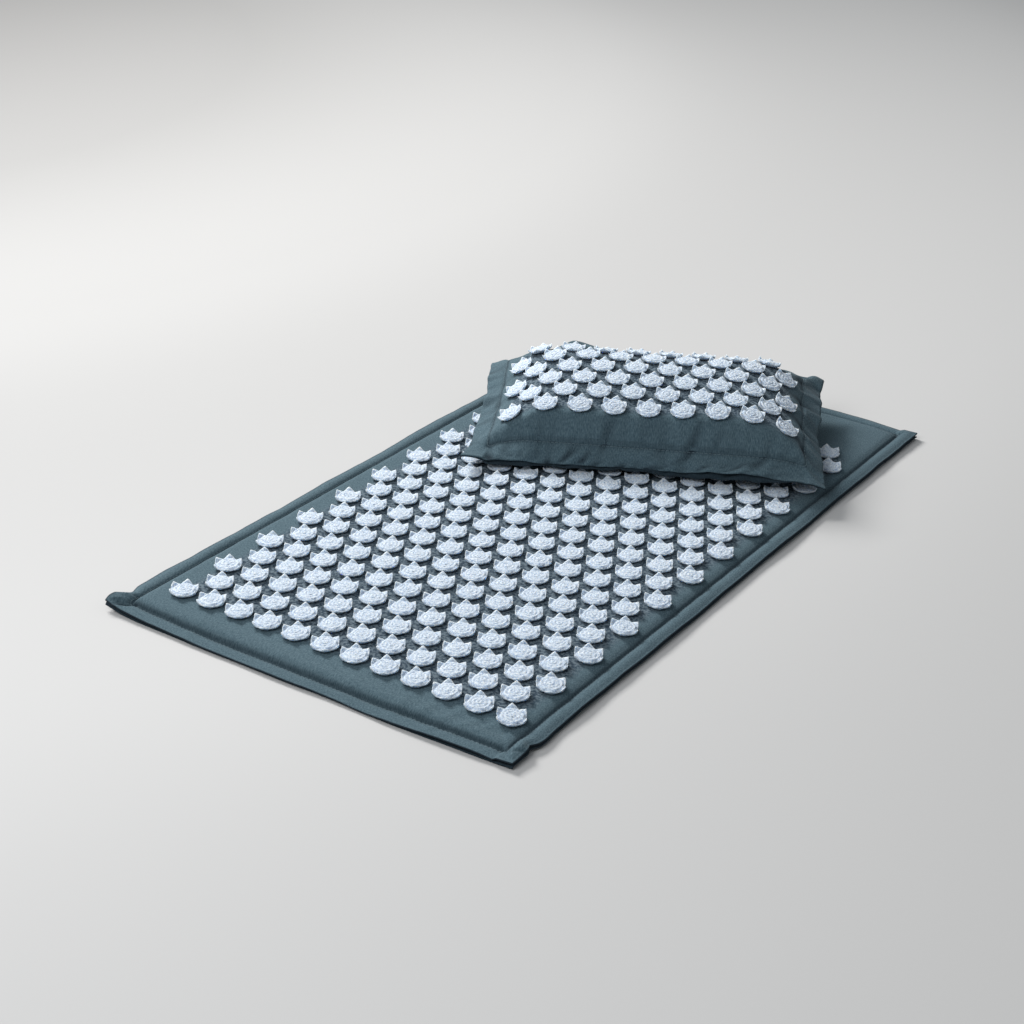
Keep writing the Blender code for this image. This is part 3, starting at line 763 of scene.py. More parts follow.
def rounded_loop(half_x, half_y, turn, step):
    """Points a step apart round a rectangle with rounded corners."""
    points = []
    corners = ((1, 1), (-1, 1), (-1, -1), (1, -1))
    for number, (side_x, side_y) in enumerate(corners):
        for part in range(5):
            angle = (number + part / 4) * math.pi / 2
            x = side_x * (half_x - turn) + turn * math.cos(angle)
            y = side_y * (half_y - turn) + turn * math.sin(angle)
            points.append((x, y))
    even = []
    for start, end in zip(points, points[1:] + points[:1]):
        count = max(round(math.dist(start, end) / step), 1)
        for number in range(count):
            share = number / count
            even.append(tuple(a + (b - a) * share for a, b in zip(start, end)))
    return even


def stitch_form():
    """One stitch along X, as points and faces: a soft bar that dips at both ends."""
    sides = 6
    stations = (
        (-0.5, 0.35, -0.7),
        (-0.42, 0.85, 0.05),
        (-0.2, 1.0, 0.42),
        (0.0, 1.0, 0.5),
        (0.2, 1.0, 0.42),
        (0.42, 0.85, 0.05),
        (0.5, 0.35, -0.7),
    )
    points = []
    for along, thick, high in stations:
        for side in range(sides):
            angle = 2 * math.pi * side / sides
            y = thick * THREAD / 2 * math.cos(angle)
            z = THREAD * (high + thick / 2 * math.sin(angle))
            points.append((along * STITCH, y, z))
    faces = []
    for station in range(len(stations) - 1):
        for side in range(sides):
            first, second = station * sides + side, station * sides + (side + 1) % sides
            faces.append((first, second, second + sides, first + sides))
    faces.append(tuple(reversed(range(sides))))
    faces.append(tuple(range(len(points) - sides, len(points))))
    return np.array(points), faces


STITCH_POINTS, STITCH_FACES = stitch_form()


def joined_mesh(name, forms):
    """One mesh of many small forms, each given by its points and its faces."""
    faces, first = [], 0
    for points, form_faces in forms:
        faces += [tuple(first + corner for corner in face) for face in form_faces]
        first += len(points)
    mesh = bpy.data.meshes.new(name)
    mesh.from_pydata(np.concatenate([form[0] for form in forms]), [], faces)
    mesh.shade_smooth()
    return mesh


def run_of_stitches(name, path, surface):
    """Stitches laid end to end along a closed path of places, on a surface of the cloth."""
    spots = [Vector(surface(*place)) for place in path]
    stitches = []
    for here, there in zip(spots, spots[1:] + spots[:1]):
        along = (there - here).normalized()
        across = Vector((0, 0, 1)).cross(along).normalized()
        turn = np.array((along, across, along.cross(across)))
        stitches.append((STITCH_POINTS @ turn + np.array((here + there) / 2), STITCH_FACES))
    return placed(name, joined_mesh(name, stitches), THREAD_FINISH)


mat_stitch_path = rounded_loop(
    MAT_SEAM_X + MAT_STITCH_OUT, MAT_SEAM_Y + MAT_STITCH_OUT, 4 * mm, STITCH + STITCH_GAP
)
mat_stitches = run_of_stitches("mat_topstitching", mat_stitch_path, mat_top_shape)
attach(mat_stitches, "mat")
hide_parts("mat_topstitch")


# Spike discs of the mat
# Hard discs are moulded in pale blue-white plastic as open lotus flowers: six pointed outer
# petals round two smaller rings and a bud. They are bonded to the cloth in staggered rows.

DISC_TURNS = 60
DISC_KINDS = 6
MOULD_ROUGH = 0.36
# Painted shade: the plastic's colour is multiplied by this in the hollows and round each disc's foot
HOLLOW_SHADE_TONE = (0.76, 0.82, 0.90, 1)
GLOW_DEPTH = 2.6 * mm


def petal(angle, count, turn):
    """1 on the middle line of a petal and 0 between two petals."""
    place = (angle - math.radians(turn)) * count / (2 * math.pi)
    return 1 - 2 * abs(place - round(place))


def disc_rings(angle):
    """The section of a disc at one angle, from its underside over its petals to its bud: each
    point's distance from the middle and height in mm, and its share of painted shade, which makes
    the hollows and the disc's foot bluer and darker."""
    outer = petal(angle, 6, 0)
    spike = outer**1.4
    lobe = 1 - (1 - outer) ** 2
    middle = petal(angle, 6, 30)
    inner = petal(angle, 5, 14)
    bud = petal(angle, 3, 50)
    lean = math.cos(angle - math.radians(205))
    swirl = math.cos(angle - math.radians(80))
    stand = 2.9 + 0.8 * math.cos(angle - math.radians(120))
    rim = 3.2 + 0.3 * lobe + stand * spike
    trough = 4.2 - 1.0 * max(lean, 0) ** 2
    crest = 4.5 + 0.25 * middle - 0.2 * lean
    curl = 4.75 + 0.25 * inner + 0.15 * swirl
    oval = 0.35 * swirl - 0.25 * lean
    return (
        (7.8, 0.0, 1.0),
        (8.7 + 0.3 * lobe, 0.3, 1.0),
        (9.7 + 0.7 * lobe, 1.0, 0.8),
        (10.9 + 1.0 * lobe, 1.9, 0.4),
        (11.2 + 1.2 * lobe + 0.1 * spike, 2.5 + 0.3 * lobe + 0.6 * spike, 0.0),
        (11.2 + 1.2 * lobe + 0.3 * spike, rim - 0.5 - 1.4 * spike, 0.0),
        (11.0 + 1.2 * lobe + 0.7 * spike, rim, 0.0),
        (10.6 + 1.0 * lobe + 0.6 * spike, rim - 0.3 - 0.7 * spike, 0.0),
        (10.2 + 0.6 * lobe + 0.3 * spike, rim - 0.5 - 0.6 * stand * spike, 0.3),
        (9.9 + 0.2 * lobe, trough + 0.3 * lobe, 0.9),
        (9.5 + 0.2 * oval, trough, 1.0),
        (9.1 + 0.2 * middle + 0.5 * oval, trough + 0.6 * (crest - trough), 0.4),
        (8.6 + 0.4 * middle + oval, crest - 0.1, 0.0),
        (7.9 + 0.4 * middle + oval, crest, 0.0),
        (7.2 + 0.3 * middle + oval, crest - 0.2, 0.2),
        (6.5 + oval, crest - 0.35, 0.5),
        (5.8 + 0.2 * inner + oval, curl - 0.3, 0.2),
        (5.2 + 0.4 * inner + oval, curl - 0.1, 0.0),
        (4.6 + 0.4 * inner + 0.7 * oval, curl, 0.0),
        (3.9 + 0.2 * inner + 0.6 * oval, curl - 0.25, 0.3),
        (3.3 + 0.4 * oval, curl - 0.35, 0.5),
        (2.6 + 0.2 * bud + 0.3 * oval, 4.7 + 0.2 * bud, 0.2),
        (1.9 + 0.3 * bud, 5.0 + 0.25 * bud, 0.0),
        (1.2, 4.95, 0.0),
        (0.5, 4.8, 0.3),
    )


def disc_form(kind):
    """One disc's points, faces and shares of painted shade. Each kind has its own small
    unevenness of moulding.
    """
    turns = [2 * math.pi * step / DISC_TURNS for step in range(DISC_TURNS)]
    sections = [disc_rings(angle) for angle in turns]
    rings = len(sections[0])
    points, hollow_shades = [(0, 0, 0)], [1.0]
    for ring in range(rings):
        for angle, section in zip(turns, sections):
            reach, high, hollow = section[ring]
            hollow_shades.append(hollow)
            x, y = reach * math.cos(angle), reach * math.sin(angle)
            rough = noise.noise_vector(Vector((x / 1.7, y / 1.7, 9.0 * kind + high / 1.7)))
            swell = 1 + 0.02 * noise.noise(Vector((x / 9, y / 9, 31.0 + kind)))
            share = MOULD_ROUGH if ring > 1 else 0
            x, y = x * swell + share * rough.x, y * swell + share * rough.y
            points.append((x, y, high + share * rough.z))
    points.append((0, 0, sections[0][-1][1] - 0.2))
    hollow_shades.append(0.3)
    faces = []
    for step in range(DISC_TURNS):
        after = (step + 1) % DISC_TURNS
        faces.append((0, 1 + after, 1 + step))
        for ring in range(rings - 1):
            low, high = 1 + ring * DISC_TURNS, 1 + (ring + 1) * DISC_TURNS
            faces.append((low + step, low + after, high + after, high + step))
        last = 1 + (rings - 1) * DISC_TURNS
        faces.append((last + step, last + after, len(points) - 1))
    return np.array(points) * mm, faces, hollow_shades


# Without a seed the noise vectors change from run to run
noise.seed_set(1)
DISC_FORMS = [disc_form(kind) for kind in range(DISC_KINDS)]


def spike_plastic():
    """Moulded plastic: pale blue white, a little uneven, with painted shade that makes it bluer
    and darker down between the petals and round each disc's foot.
    """
    dark, light = (0.39, 0.47, 0.585), (0.715, 0.765, 0.805)
    made = mottled("pale blue spike plastic", dark, light, 0.85, 1.4, 0.5, 0.8, 0.6 * mm, 1.9)
    tree = made.node_tree
    shader = tree.nodes["Principled BSDF"]
    tone = shader.inputs["Base Color"].links[0].from_socket
    feed(
        tree,
        shader,
        # Painted shade: bluer and darker by each point's share of it
        Base_Color=mix_of(tree, painted(tree, "hollow_painted_shade"), tone, HOLLOW_SHADE_TONE, "MULTIPLY"),
        Specular_IOR_Level=0.2,
        Subsurface_Weight=0.75,
        Subsurface_Radius=(0.8, 0.9, 1.0),
        Subsurface_Scale=GLOW_DEPTH,
    )
    return made


PLASTIC = spike_plastic()


def row_of_discs(name, seats):
    """One row of discs as one piece. Each seat is the place and turn of a disc."""
    discs, hollow_shades = [], []
    for seat, kind in seats:
        points, faces, form_hollow_shades = DISC_FORMS[kind % DISC_KINDS]
        discs.append((points @ np.array(seat.to_3x3()).T + np.array(seat.translation), faces))
        hollow_shades += form_hollow_shades
    mesh = joined_mesh(name, discs)
    # Each point's share of painted shade in the hollows and round the foot
    mesh.attributes.new("hollow_painted_shade", "FLOAT", "POINT").data.foreach_set("value", hollow_shades)
    return placed(name, mesh, PLASTIC)


SEAT_REACH = 9 * mm
BOND = 0.15 * mm


def disc_seat(surface, x, y, turn):
    """The place of a disc on the cloth: flat on its rim, turned a little as it was bonded."""
    ring = [
        Vector(surface(x + SEAT_REACH * math.cos(angle), y + SEAT_REACH * math.sin(angle)))
        for angle in (0, 1.57, 3.14, 4.71)
    ]
    normal = (ring[0] - ring[2]).cross(ring[1] - ring[3]).normalized()
    middle = Vector(surface(x, y))
    along = (ring[0] - ring[2]).normalized()
    basis = Matrix((along, normal.cross(along), normal)).transposed().to_4x4()
    return Matrix.Translation(middle + normal * BOND) @ basis @ Matrix.Rotation(turn, 4, "Z")


def staggered_seats(surface, row_number, longest, place, first_pick, drift, turn, sway):
    """The seats of one row, in which every second row is a disc shorter. The place is where the
    row's middle lies and how far apart its discs are."""
    middle_x, row_y, pitch = place
    count = longest - row_number % 2
    seats = []
    for number in range(count):
        pick = first_pick + row_number * longest + number
        x = middle_x + (number - (count - 1) / 2) * pitch
        x += drift * noise.noise(Vector((pick * 0.77, 3.3, 0.4)))
        y = row_y + drift * noise.noise(Vector((pick * 0.77, 8.1, 2.4)))
        spin = turn + sway * noise.noise(Vector((pick * 1.31, 0.5, 5.9)))
        seats.append((disc_seat(surface, x, y, spin), pick * 5 + row_number))
    return seats


MAT_PITCH = 30.3 * mm
MAT_ROW_STEP = 28.45 * mm
MAT_FIRST_ROW = -333.2 * mm
MAT_ROWS = 22
DRIFT = 0.5 * mm
for row_number in range(MAT_ROWS):
    row_place = (FIELD_SHIFT, MAT_FIRST_ROW + row_number * MAT_ROW_STEP, MAT_PITCH)
    row_seats = staggered_seats(mat_top_shape, row_number, 12, row_place, 0, DRIFT, 0, math.radians(7))
    disc_row = row_of_discs(f"mat_discs_row_{row_number + 1:02d}", row_seats)
    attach(disc_row, "mat")
    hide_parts(f"mat_spike_row_{row_number + 1:02d}")


# Cover of the pillow
# The pillow lies slantwise across the head end. Its cover is the same canvas, cut wider than
# the filling and sewn through all round, so that a soft double flange stands out past the seam.
# The cloth is let settle over the filling, which draws in its sides and gathers it at the seam.

PILLOW_LEFT, PILLOW_RIGHT = -172.5 * mm, 172.5 * mm
PILLOW_FRONT, PILLOW_BACK = -105 * mm, 108.5 * mm
PILLOW_HEM = 19 * mm
PILLOW_REST = 19.4 * mm
PILLOW_CROWN = 43.2 * mm
FRONT_EDGE, BACK_EDGE = 27.3 * mm, 44 * mm
pillow_place = Matrix.Translation((-1.7 * mm, 181.8 * mm, 0)) @ Matrix.Rotation(math.radians(27.2), 4, "Z")


def soft_profile(knots, soften):
    """A smooth line through points given in mm and as shares of the crown."""
    low, high = knots[0][0], knots[-1][0]
    places = np.linspace(low, high, int(high - low) * 2 + 1)
    levels = np.interp(places, [knot[0] for knot in knots], [knot[1] for knot in knots])
    reach = int(6 * soften)
    weights = np.exp(-((np.arange(-reach, reach + 1) / 2 / soften) ** 2) / 2)
    wide = np.pad(levels, reach, mode="reflect", reflect_type="odd")
    smoothed = np.convolve(wide, weights / weights.sum(), mode="valid")
    return lambda place: float(np.interp(place / mm, places, smoothed))


DEPTH_PROFILE = soft_profile(
    (
        (-105, 0), (-88, 0.21), (-79, 0.58), (-71, 0.855), (-60.5, 0.89), (-34.7, 0.965), (0, 1),
        (35, 0.985), (58, 0.895), (68.5, 0.81), (79, 0.68), (90, 0.48), (100, 0.22), (108.5, 0),
    ),
    3.0,
)
LENGTH_PROFILE = soft_profile(
    (
        (-172.5, 0), (-160, 0.15), (-148, 0.34), (-131.6, 0.585), (-116, 0.77), (-98.7, 0.90), (-66, 0.975),
        (-20, 1), (66, 1), (98.7, 0.95), (118, 0.84), (131.6, 0.705), (146, 0.52), (158, 0.29), (172.5, 0),
    ),
    4.0,
)


def pillow_edge_level(v):
    """The height of the cover's edge, which rises towards the head."""
    return FRONT_EDGE + (BACK_EDGE - FRONT_EDGE) * (v - PILLOW_FRONT) / (PILLOW_BACK - PILLOW_FRONT)


# Each lump, in mm: its middle, how far it reaches both ways, and its height
PILLOW_LUMPS = (
    (72, -60, 42, 20, 3),
    (-84, 92, 19, 12, 17),
    (163, 104, 12, 12, 8),
)


def pillow_swell(u, v):
    """The crown, with hips that run from its shoulders to the corners, and a few lumps."""
    deep, long = DEPTH_PROFILE(v), LENGTH_PROFILE(u)
    hips = 1 - (abs(1 - deep) ** 3 + abs(1 - long) ** 3) ** (1 / 3)
    swell = PILLOW_CROWN * max(deep * long, hips)
    for middle_u, middle_v, reach_u, reach_v, height in PILLOW_LUMPS:
        over_u = bell(u - middle_u * mm, reach_u * mm)
        swell += height * mm * over_u * bell(v - middle_v * mm, reach_v * mm)
    return swell


DROOP_MIDDLE = -75 * mm
DROOP_REACH = 95 * mm
DROOP_BACK = 6.5 * mm
DROOP_DOWN = 4.2 * mm


def front_droop(u, v):
    """1 where the front flange hangs down most, left of the middle, and 0 behind it."""
    return bell(u - DROOP_MIDDLE, DROOP_REACH) * max(v / PILLOW_FRONT, 0) ** 8


def pillow_hem_distance(u, v):
    """How far a place is outside the pillow's seam."""
    side = abs(u) - (PILLOW_RIGHT - PILLOW_HEM)
    return max(side, PILLOW_FRONT + PILLOW_HEM - v, v - PILLOW_BACK + PILLOW_HEM)


PILLOW_MIDDLE = 1.75 * mm
PILLOW_HALF_DEPTH = 106.75 * mm
END_DRAW = 4 * mm
SIDE_DRAW = 4.5 * mm
# How far each corner is drawn out along u and v: front left, back left, front right, back right
CORNER_DRAWS = ((-4 * mm, -4.5 * mm), (0, 0), (0.5 * mm, 0), (3.5 * mm, 0))


def pillow_plan(u, v):
    """The sides are drawn in between the corners as the filling swells the cover."""
    far_u, far_v = u / PILLOW_RIGHT, (v - PILLOW_MIDDLE) / PILLOW_HALF_DEPTH
    moved_u = u - math.copysign(END_DRAW, u) * abs(far_u) ** 3 * (1 - far_v**2)
    moved_v = v - math.copysign(SIDE_DRAW, v) * abs(far_v) ** 3 * (1 - far_u**2)
    corner = abs(far_u) ** 8 * abs(far_v) ** 8
    out_u, out_v = CORNER_DRAWS[2 * (far_u > 0) + (far_v > 0)]
    return moved_u + out_u * corner, moved_v + (DROOP_BACK * front_droop(u, v) + out_v * corner)


# Each fold, in mm: its middle, its direction in degrees, its half length, width and height
PILLOW_FOLDS = (
    (151, -84, -52, 24, 4.5, 3.2),
    (145, -64, -42, 24, 5.0, -2.6),
    (151, -42, -28, 22, 4.5, 2.6),
    (146, -22, -18, 22, 5.0, -2.4),
    (152, 2, -6, 20, 4.5, 2.4),
    (147, 24, 12, 22, 5.0, -2.2),
    (152, 46, 26, 22, 4.5, 2.4),
    (146, 68, 38, 22, 5.0, -2.0),
    (136, 88, 58, 20, 4.4, 1.6),
    (-150, -76, 48, 26, 5.5, 0.9),
    (-153, -34, 34, 24, 4.5, 1.2),
    (-150, -14, 32, 22, 4.0, -0.9),
    (-152, 10, 34, 24, 4.5, 1.1),
    (-149, 32, 36, 22, 4.0, -0.9),
    (-150, 58, 38, 24, 4.5, 1.0),
    (-118, -92, 72, 18, 5.0, 0.9),
    (-92, -93, 88, 16, 4.6, -0.9),
    (-60, -92, 98, 20, 5.0, 0.9),
    (-39, -83, 60, 18, 4.2, -1.7),
    (-8, -91, 94, 18, 4.6, 0.9),
    (16, -90, 104, 20, 5.0, -0.9),
    (34, -84, 60, 20, 4.4, 1.8),
    (44, -81, 60, 18, 3.6, -1.9),
    (70, -93, 92, 16, 4.4, 0.8),
    (98, -92, 76, 18, 5.0, 1.0),
    (122, -90, 60, 18, 4.6, 1.0),
)


LEFT_CORNER_DROP = 3 * mm
RIGHT_CORNER_DROP = 4 * mm


def pillow_top_local(u, v):
    """The upper face of the cover before it settles."""
    moved_u, moved_v = pillow_plan(u, v)
    outside = pillow_hem_distance(u, v)
    share = unit(outside / PILLOW_HEM)
    level = pillow_edge_level(v) + pillow_swell(u, v)
    corner_drop = LEFT_CORNER_DROP if u < 0 else RIGHT_CORNER_DROP
    level -= corner_drop * abs(u / PILLOW_RIGHT) ** 8 * max(-v / PILLOW_BACK, 0) ** 6
    level += 0.3 * mm * soft_noise(u, v, 36 * mm, 51.0) - DROOP_DOWN * front_droop(u, v)
    level += 1.3 * mm * soft_noise(u, v, 42 * mm, 41.0) * share
    return moved_u, moved_v, level


def hem_gathers(u, v):
    """The small slanting gathers of the flange, which are strongest along the front."""
    outside = pillow_hem_distance(u, v)
    share = unit(outside / PILLOW_HEM)
    along = u if PILLOW_RIGHT - abs(u) > PILLOW_HEM else v
    front = max(v / PILLOW_FRONT, 0) ** 4
    size = (11 - 2.5 * front) * mm
    slanted = along + 0.9 * front * outside
    height = (0.7 + 0.9 * front) * (0.4 + 0.6 * share) * bell(max(-outside, 0), 16 * mm)
    return height * mm * soft_noise(slanted, 60 * mm + 0.2 * outside, size, 43.0)


# Folds only show outside this part of the pillow, which the discs hold flat
FLAT_HALF_U = 146 * mm
FLAT_FRONT, FLAT_BACK = -74 * mm, 84 * mm
SEAM_WIDTH = 2.2 * mm


def pillow_gathers(u, v):
    """How far the settled cloth stands out: its folds, the sunk seam and the waves of its hem."""
    ends = unit((abs(u) - 140 * mm) / (15 * mm))
    sunk = (1.5 - 0.9 * ends) * mm * bell(pillow_hem_distance(u, v), SEAM_WIDTH)
    clear = max(abs(u) - FLAT_HALF_U, FLAT_FRONT - v, v - FLAT_BACK)
    return creases(u, v, PILLOW_FOLDS) * unit(clear / (7 * mm)) - sunk + hem_gathers(u, v)


SETTLE_STEPS = 25
SETTLE_LIMIT = 6 * mm


def settled_cloth(us, vs, shape, held):
    """Blender's cloth, started on a shape, fills out and gathers; its points are kept."""
    form = bmesh.new()
    rows = [[form.verts.new(shape(u, v)) for u in us] for v in vs]
    for low, high in zip(rows, rows[1:]):
        for step in range(len(us) - 1):
            form.faces.new((low[step], low[step + 1], high[step + 1], high[step]))
    mesh = mesh_of("settling_cloth", form)
    sheet = placed("settling_cloth", mesh)
    grip, filled = sheet.vertex_groups.new(name="grip"), sheet.vertex_groups.new(name="filled")
    for number, (v, u) in enumerate((v, u) for v in vs for u in us):
        hold, press = held(u, v)
        grip.add([number], hold, "REPLACE")
        filled.add([number], press, "REPLACE")
    start = np.array([vert.co for vert in mesh.vertices])
    cloth = sheet.modifiers.new("settle", "CLOTH")
    settings = cloth.settings
    settings.quality = 7
    settings.mass = 0.1
    settings.tension_stiffness = 20
    settings.compression_stiffness = 20
    settings.shear_stiffness = 8
    settings.bending_stiffness = 0.3
    settings.shrink_min = -0.022
    settings.use_pressure = True
    settings.uniform_pressure_force = 1.5
    settings.vertex_group_pressure = "filled"
    settings.vertex_group_mass = "grip"
    settings.pin_stiffness = 0.6
    settings.effector_weights.gravity = 0
    cloth.collision_settings.use_collision = False
    scene = bpy.context.scene
    for number in range(SETTLE_STEPS):
        scene.frame_set(number + 1)
    solved = sheet.evaluated_get(bpy.context.evaluated_depsgraph_get()).data
    settled = np.array([vert.co for vert in solved.vertices])
    scene.frame_set(1)
    bpy.data.objects.remove(sheet)
    shift = settled - start
    reach = np.linalg.norm(shift, axis=1, keepdims=True)
    shift *= np.minimum(1, SETTLE_LIMIT / np.maximum(reach, 1e-9))
    wide = np.pad(shift.reshape(len(vs), len(us), 3), ((1, 1), (1, 1), (0, 0)), mode="edge")
    wide = (wide[:-2] + 2 * wide[1:-1] + wide[2:]) / 4
    even = (wide[:, :-2] + 2 * wide[:, 1:-1] + wide[:, 2:]) / 4
    return start.reshape(even.shape) + even


def sheet_surface(us, vs, places):
    """Any point of a settled sheet, found between its four nearest points."""

    def surface(u, v):
        column = min(max(int(np.searchsorted(us, u)) - 1, 0), len(us) - 2)
        row = min(max(int(np.searchsorted(vs, v)) - 1, 0), len(vs) - 2)
        part_u = (u - us[column]) / (us[column + 1] - us[column])
        part_v = (v - vs[row]) / (vs[row + 1] - vs[row])
        low = places[row, column] * (1 - part_u) + places[row, column + 1] * part_u
        high = places[row + 1, column] * (1 - part_u) + places[row + 1, column + 1] * part_u
        return Vector(low * (1 - part_v) + high * part_v)

    return surface


PILLOW_FIELD_HALF_U = 142 * mm
PILLOW_FIELD_HALF_V = 71 * mm
PILLOW_FIELD_MIDDLE = 4 * mm
HELD_HALF_V = 70 * mm


def pillow_grip(u, v):
    """How firmly a place is held while the cloth settles, and its share of the pressure."""
    outside = pillow_hem_distance(u, v)
    seam = bell(outside, SEAM_WIDTH)
    under_discs = abs(u) < PILLOW_FIELD_HALF_U and abs(v) < HELD_HALF_V
    hold = max(0.9 * seam, 0.5 if under_discs else 0.06)
    return hold, 1.0 if outside < 0 else 0.0


def hem_lines(low, high):
    """Thread lines across the pillow, close together along both of its seams."""
    stops = (low, low + PILLOW_HEM - 4 * mm, low + PILLOW_HEM + 4 * mm)
    ends = (high - PILLOW_HEM - 4 * mm, high - PILLOW_HEM + 4 * mm, high)
    steps = (2.5 * mm, 1.2 * mm, 3.0 * mm, 1.2 * mm, 2.5 * mm)
    marks = (*stops, *ends)
    lines = []
    for start, end, step in zip(marks, marks[1:], steps):
        lines += lines_between(start, end, step)
    return [*lines, high]


cloth_us = hem_lines(PILLOW_LEFT, PILLOW_RIGHT)
cloth_vs = hem_lines(PILLOW_FRONT, PILLOW_BACK)
pillow_points = np.array([[pillow_top_local(u, v) for u in cloth_us] for v in cloth_vs])
pillow_points = settled_cloth(cloth_us, cloth_vs, pillow_top_local, pillow_grip)
along_rows, along_columns = np.gradient(pillow_points, axis=(0, 1))
outward = np.cross(along_columns, along_rows)
outward /= np.linalg.norm(outward, axis=2, keepdims=True)
pillow_points += outward * np.array([[[pillow_gathers(u, v)] for u in cloth_us] for v in cloth_vs])
pillow_skin = sheet_surface(cloth_us, cloth_vs, pillow_points)


LAYER_GAP = 2.3 * mm
HANG = 5 * mm
HANG_MIDDLE = -14 * mm
REST_LEVEL = PILLOW_REST + 0.2 * mm
BELLY_FALL = 320 * mm
BELLY_REACH = 60 * mm
BELLY_BEND = 3.6 * mm
# Share of painted shade on the pillow's underside away from the front flange
UNDERSIDE_SHADE_SHARE = 0.3


def pillow_base_local(u, v):
    """The underside, rounded down to the flat that it rests on. Along the front its flange hangs
    away from the upper layer's."""
    skin = pillow_skin(u, v)
    inside = max(-pillow_hem_distance(u, v), 0)
    fall = BELLY_FALL * min(inside / BELLY_REACH, 1) ** 2
    hang = unit((PILLOW_FRONT + PILLOW_HEM - v) / PILLOW_HEM)
    gap = HANG * hang * ramp(abs(u - HANG_MIDDLE), 120 * mm, 30 * mm)
    above = skin.z - LAYER_GAP - gap - fall - REST_LEVEL
    bend = 0.05 * mm + BELLY_BEND * min(inside / (16 * mm), 1)
    rounded = bend * math.log1p(math.exp(above / bend)) if above < 40 * bend else above
    return skin.x, skin.y, REST_LEVEL + rounded


def pillow_base_painted_shade(u, v):
    """Painted shade: the lower layer of the front flange is darkened most, where it lies in the
    shade of the upper one, and the rest of the underside a little.
    """
    return SHADED_SHARE if v < PILLOW_FRONT + PILLOW_HEM else UNDERSIDE_SHADE_SHARE


def pillow_painted_shade_share(u, v):
    """The share of painted shade at a place: along the seam, and down in the folds and gathers."""
    valley = max(-0.26 * creases(u, v, PILLOW_FOLDS) / mm, 0) + max(-0.8 * hem_gathers(u, v) / mm, 0)
    return min(0.5 * bell(pillow_hem_distance(u, v), 1.6 * mm) + valley, 1)


def pillow_field_share(u, v):
    """1 on the part of the pillow that the discs stand on, and 0 round it."""
    inside = min(PILLOW_FIELD_HALF_U - abs(u), PILLOW_FIELD_HALF_V - abs(v - PILLOW_FIELD_MIDDLE))
    return unit(inside / FIELD_FADE)


def on_pillow(local):
    """The same surface, but in its place on the mat."""
    return lambda u, v: pillow_place @ Vector(local(u, v))


pillow_cover_top = laid_cloth(
    "pillow_cover_top",
    cloth_us,
    cloth_vs,
    on_pillow(pillow_skin),
    -1,
    CANVAS_CLOTH,
    pillow_painted_shade_share,
    pillow_field_share,
)
pillow_cover_base = laid_cloth(
    "pillow_cover_base", cloth_us, cloth_vs, on_pillow(pillow_base_local), 1, CANVAS_CLOTH, pillow_base_painted_shade
)
rounding = pillow_cover_top.modifiers.new("rounding", "SUBSURF")
rounding.levels = rounding.render_levels = 1
pillow_cover_top.modifiers.move(1, 0)
for pillow_panel, panel_node in (
    (pillow_cover_top, "pillow_top_panel"),
    (pillow_cover_base, "pillow_base_panel"),
):
    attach(pillow_panel, "pillow")
    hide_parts(panel_node)


# Filling of the pillow
# A loose cushion of fibre fills the cover up to the seam.

FIBRE = mottled("fibre filling", (0.66, 0.65, 0.62), (0.80, 0.79, 0.76), 0.95, 9.0, 0.9, 0.8, 0.5 * mm)
FILLING_SHARE = 0.92
FILLING_HEART = Vector((0, 0, 46 * mm))
FILLING_CLEAR = 2 * mm


def filling_place(cover):
    """A place on the filling: drawn in towards the pillow's heart, clear of both panels."""

    def place(u, v):
        drawn = FILLING_HEART + (Vector(cover(u, v)) - FILLING_HEART) * FILLING_SHARE
        inner_u, inner_v = u * FILLING_SHARE, v * FILLING_SHARE
        ceiling = pillow_skin(inner_u, inner_v).z - FILLING_CLEAR
        bottom = pillow_base_local(inner_u, inner_v)[2] + FILLING_CLEAR
        return drawn.x, drawn.y, max(min(drawn.z, ceiling), bottom)

    return place


filling_us = [u for u in cloth_us if abs(u) < PILLOW_RIGHT - PILLOW_HEM - FILLING_CLEAR]
filling_half_v = PILLOW_HALF_DEPTH - PILLOW_HEM - FILLING_CLEAR
filling_vs = [v for v in cloth_vs if abs(v - PILLOW_MIDDLE) < filling_half_v]
pillow_filling = soft_block(
    "pillow_fibre_filling",
    filling_us,
    filling_vs,
    filling_place(pillow_base_local),
    filling_place(pillow_skin),
    FIBRE,
)
pillow_filling.data.transform(pillow_place)
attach(pillow_filling, "pillow")
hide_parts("pillow_filling")


# Topstitching of the pillow
# The same thread runs round the pillow along its seam, through both layers of the flange.

STITCH_OUT = 1.0 * mm
pillow_stitch_path = [
    (u, v + PILLOW_MIDDLE)
    for u, v in rounded_loop(
        PILLOW_RIGHT - PILLOW_HEM + STITCH_OUT,
        PILLOW_HALF_DEPTH - PILLOW_HEM + STITCH_OUT,
        4 * mm,
        STITCH + STITCH_GAP,
    )
]
pillow_stitches = run_of_stitches("pillow_topstitching", pillow_stitch_path, on_pillow(pillow_skin))
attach(pillow_stitches, "pillow")
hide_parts("pillow_topstitch")


# Spike discs of the pillow
# The same moulded discs are bonded to the pillow's top in six staggered rows, and tip outwards
# where the cover rounds down to its edges.

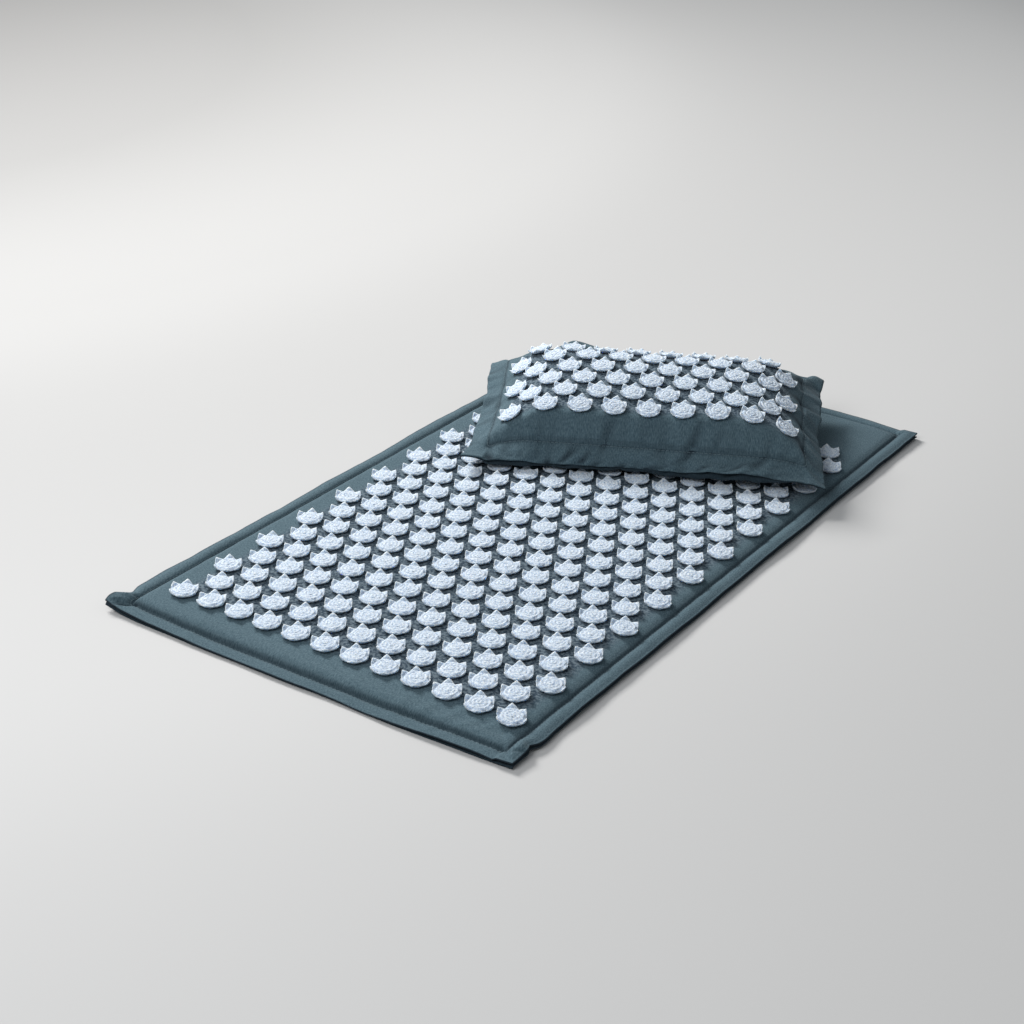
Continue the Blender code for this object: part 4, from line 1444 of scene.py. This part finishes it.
PILLOW_PITCH = 33.4 * mm
PILLOW_ROW_STEP = 25.8 * mm
PILLOW_FIRST_ROW = -60.5 * mm
PILLOW_ROWS = 6
PILLOW_SHIFT = -0.8 * mm
for row_number in range(PILLOW_ROWS):
    row_place = (PILLOW_SHIFT, PILLOW_FIRST_ROW + row_number * PILLOW_ROW_STEP, PILLOW_PITCH)
    row_turn, row_sway = math.radians(20), math.radians(8)
    row_seats = staggered_seats(
        on_pillow(pillow_skin), row_number, 9, row_place, 400, 0, row_turn, row_sway
    )
    disc_row = row_of_discs(f"pillow_discs_row_{row_number + 1:02d}", row_seats)
    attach(disc_row, "pillow")
    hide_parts(f"pillow_spike_row_{row_number + 1:02d}")


# Zip of the mat's cover
# A nylon coil zip on woven tapes lies face down in its channel. The slider, its pull tab and
# the two end stops are plated zinc castings.

TAPE_CLOTH = woven_cloth("woven zip tape", (0.030, 0.048, 0.058), (0.055, 0.080, 0.094), 2.6, 0.7)
COIL_NYLON = mottled(
    "zip coil nylon", (0.035, 0.05, 0.06), (0.055, 0.075, 0.085), 0.45, 2.0, 0.3, 0.3, 0.1 * mm
)
PLATED_ZINC = mottled("plated zinc", (0.55, 0.56, 0.58), (0.68, 0.69, 0.71), 0.3, 1.5, 0.2, 0.2, 0.05 * mm)
PLATED_ZINC.node_tree.nodes["Principled BSDF"].inputs["Metallic"].default_value = 1.0
for zip_node in ("mat_zip_slider", "mat_zip_pull", "mat_zip_stop_closed", "mat_zip_stop_open"):
    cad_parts[zip_node].data.materials.clear()
    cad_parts[zip_node].data.materials.append(PLATED_ZINC)


TAPE_THICK = 0.4 * mm
COIL_WIRE = 0.24 * mm
COIL_PITCH = 1.3 * mm


def zip_tape(name, node_name):
    """A flat strip of woven tape beside the coil."""
    low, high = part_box(node_name)
    across = [low.y + (high.y - low.y) * step / 12 for step in range(13)]
    along = lines_between(low.x, high.x, 4 * mm) + [high.x]
    middle = (low.z + high.z) / 2

    def shape(x, y):
        return x, y, middle - TAPE_THICK / 2

    tape = laid_cloth(name, along, across, shape, 1, TAPE_CLOTH)
    tape.modifiers["cloth"].thickness = TAPE_THICK
    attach(tape, "mat")
    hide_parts(node_name)


def zip_coil(name, node_name, side):
    """A monofilament wound into a flattened spiral, each turn a tooth of the zip."""
    low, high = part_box(node_name)
    half_y = (high.y - low.y) / 2 - COIL_WIRE
    half_z = (high.z - low.z) / 2 - COIL_WIRE
    middle = (low + high) / 2
    steps = 12
    count = int((high.x - low.x - 2 * COIL_WIRE) / COIL_PITCH) * steps
    line = []
    for step in range(count + 1):
        angle = 2 * math.pi * step / steps
        x = low.x + COIL_WIRE + COIL_PITCH * step / steps
        y = middle.y + side * half_y * math.cos(angle)
        line.append((x, y, middle.z + half_z * math.sin(angle)))
    curve = bpy.data.curves.new(name, "CURVE")
    curve.dimensions = "3D"
    curve.bevel_depth = COIL_WIRE
    curve.bevel_resolution = 0
    curve.use_fill_caps = True
    spline = curve.splines.new("POLY")
    spline.points.add(len(line) - 1)
    for point, place in zip(spline.points, line):
        point.co = (*place, 1)
    coil = placed(name, curve, COIL_NYLON)
    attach(coil, "mat")
    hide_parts(node_name)


for half_name, half_side in (("foot", 1), ("head", -1)):
    zip_tape(f"zip_tape_{half_name}", f"mat_zip_tape_{half_name}")
    zip_coil(f"zip_coil_{half_name}", f"mat_zip_coil_{half_name}", half_side)


bpy.context.view_layer.update()
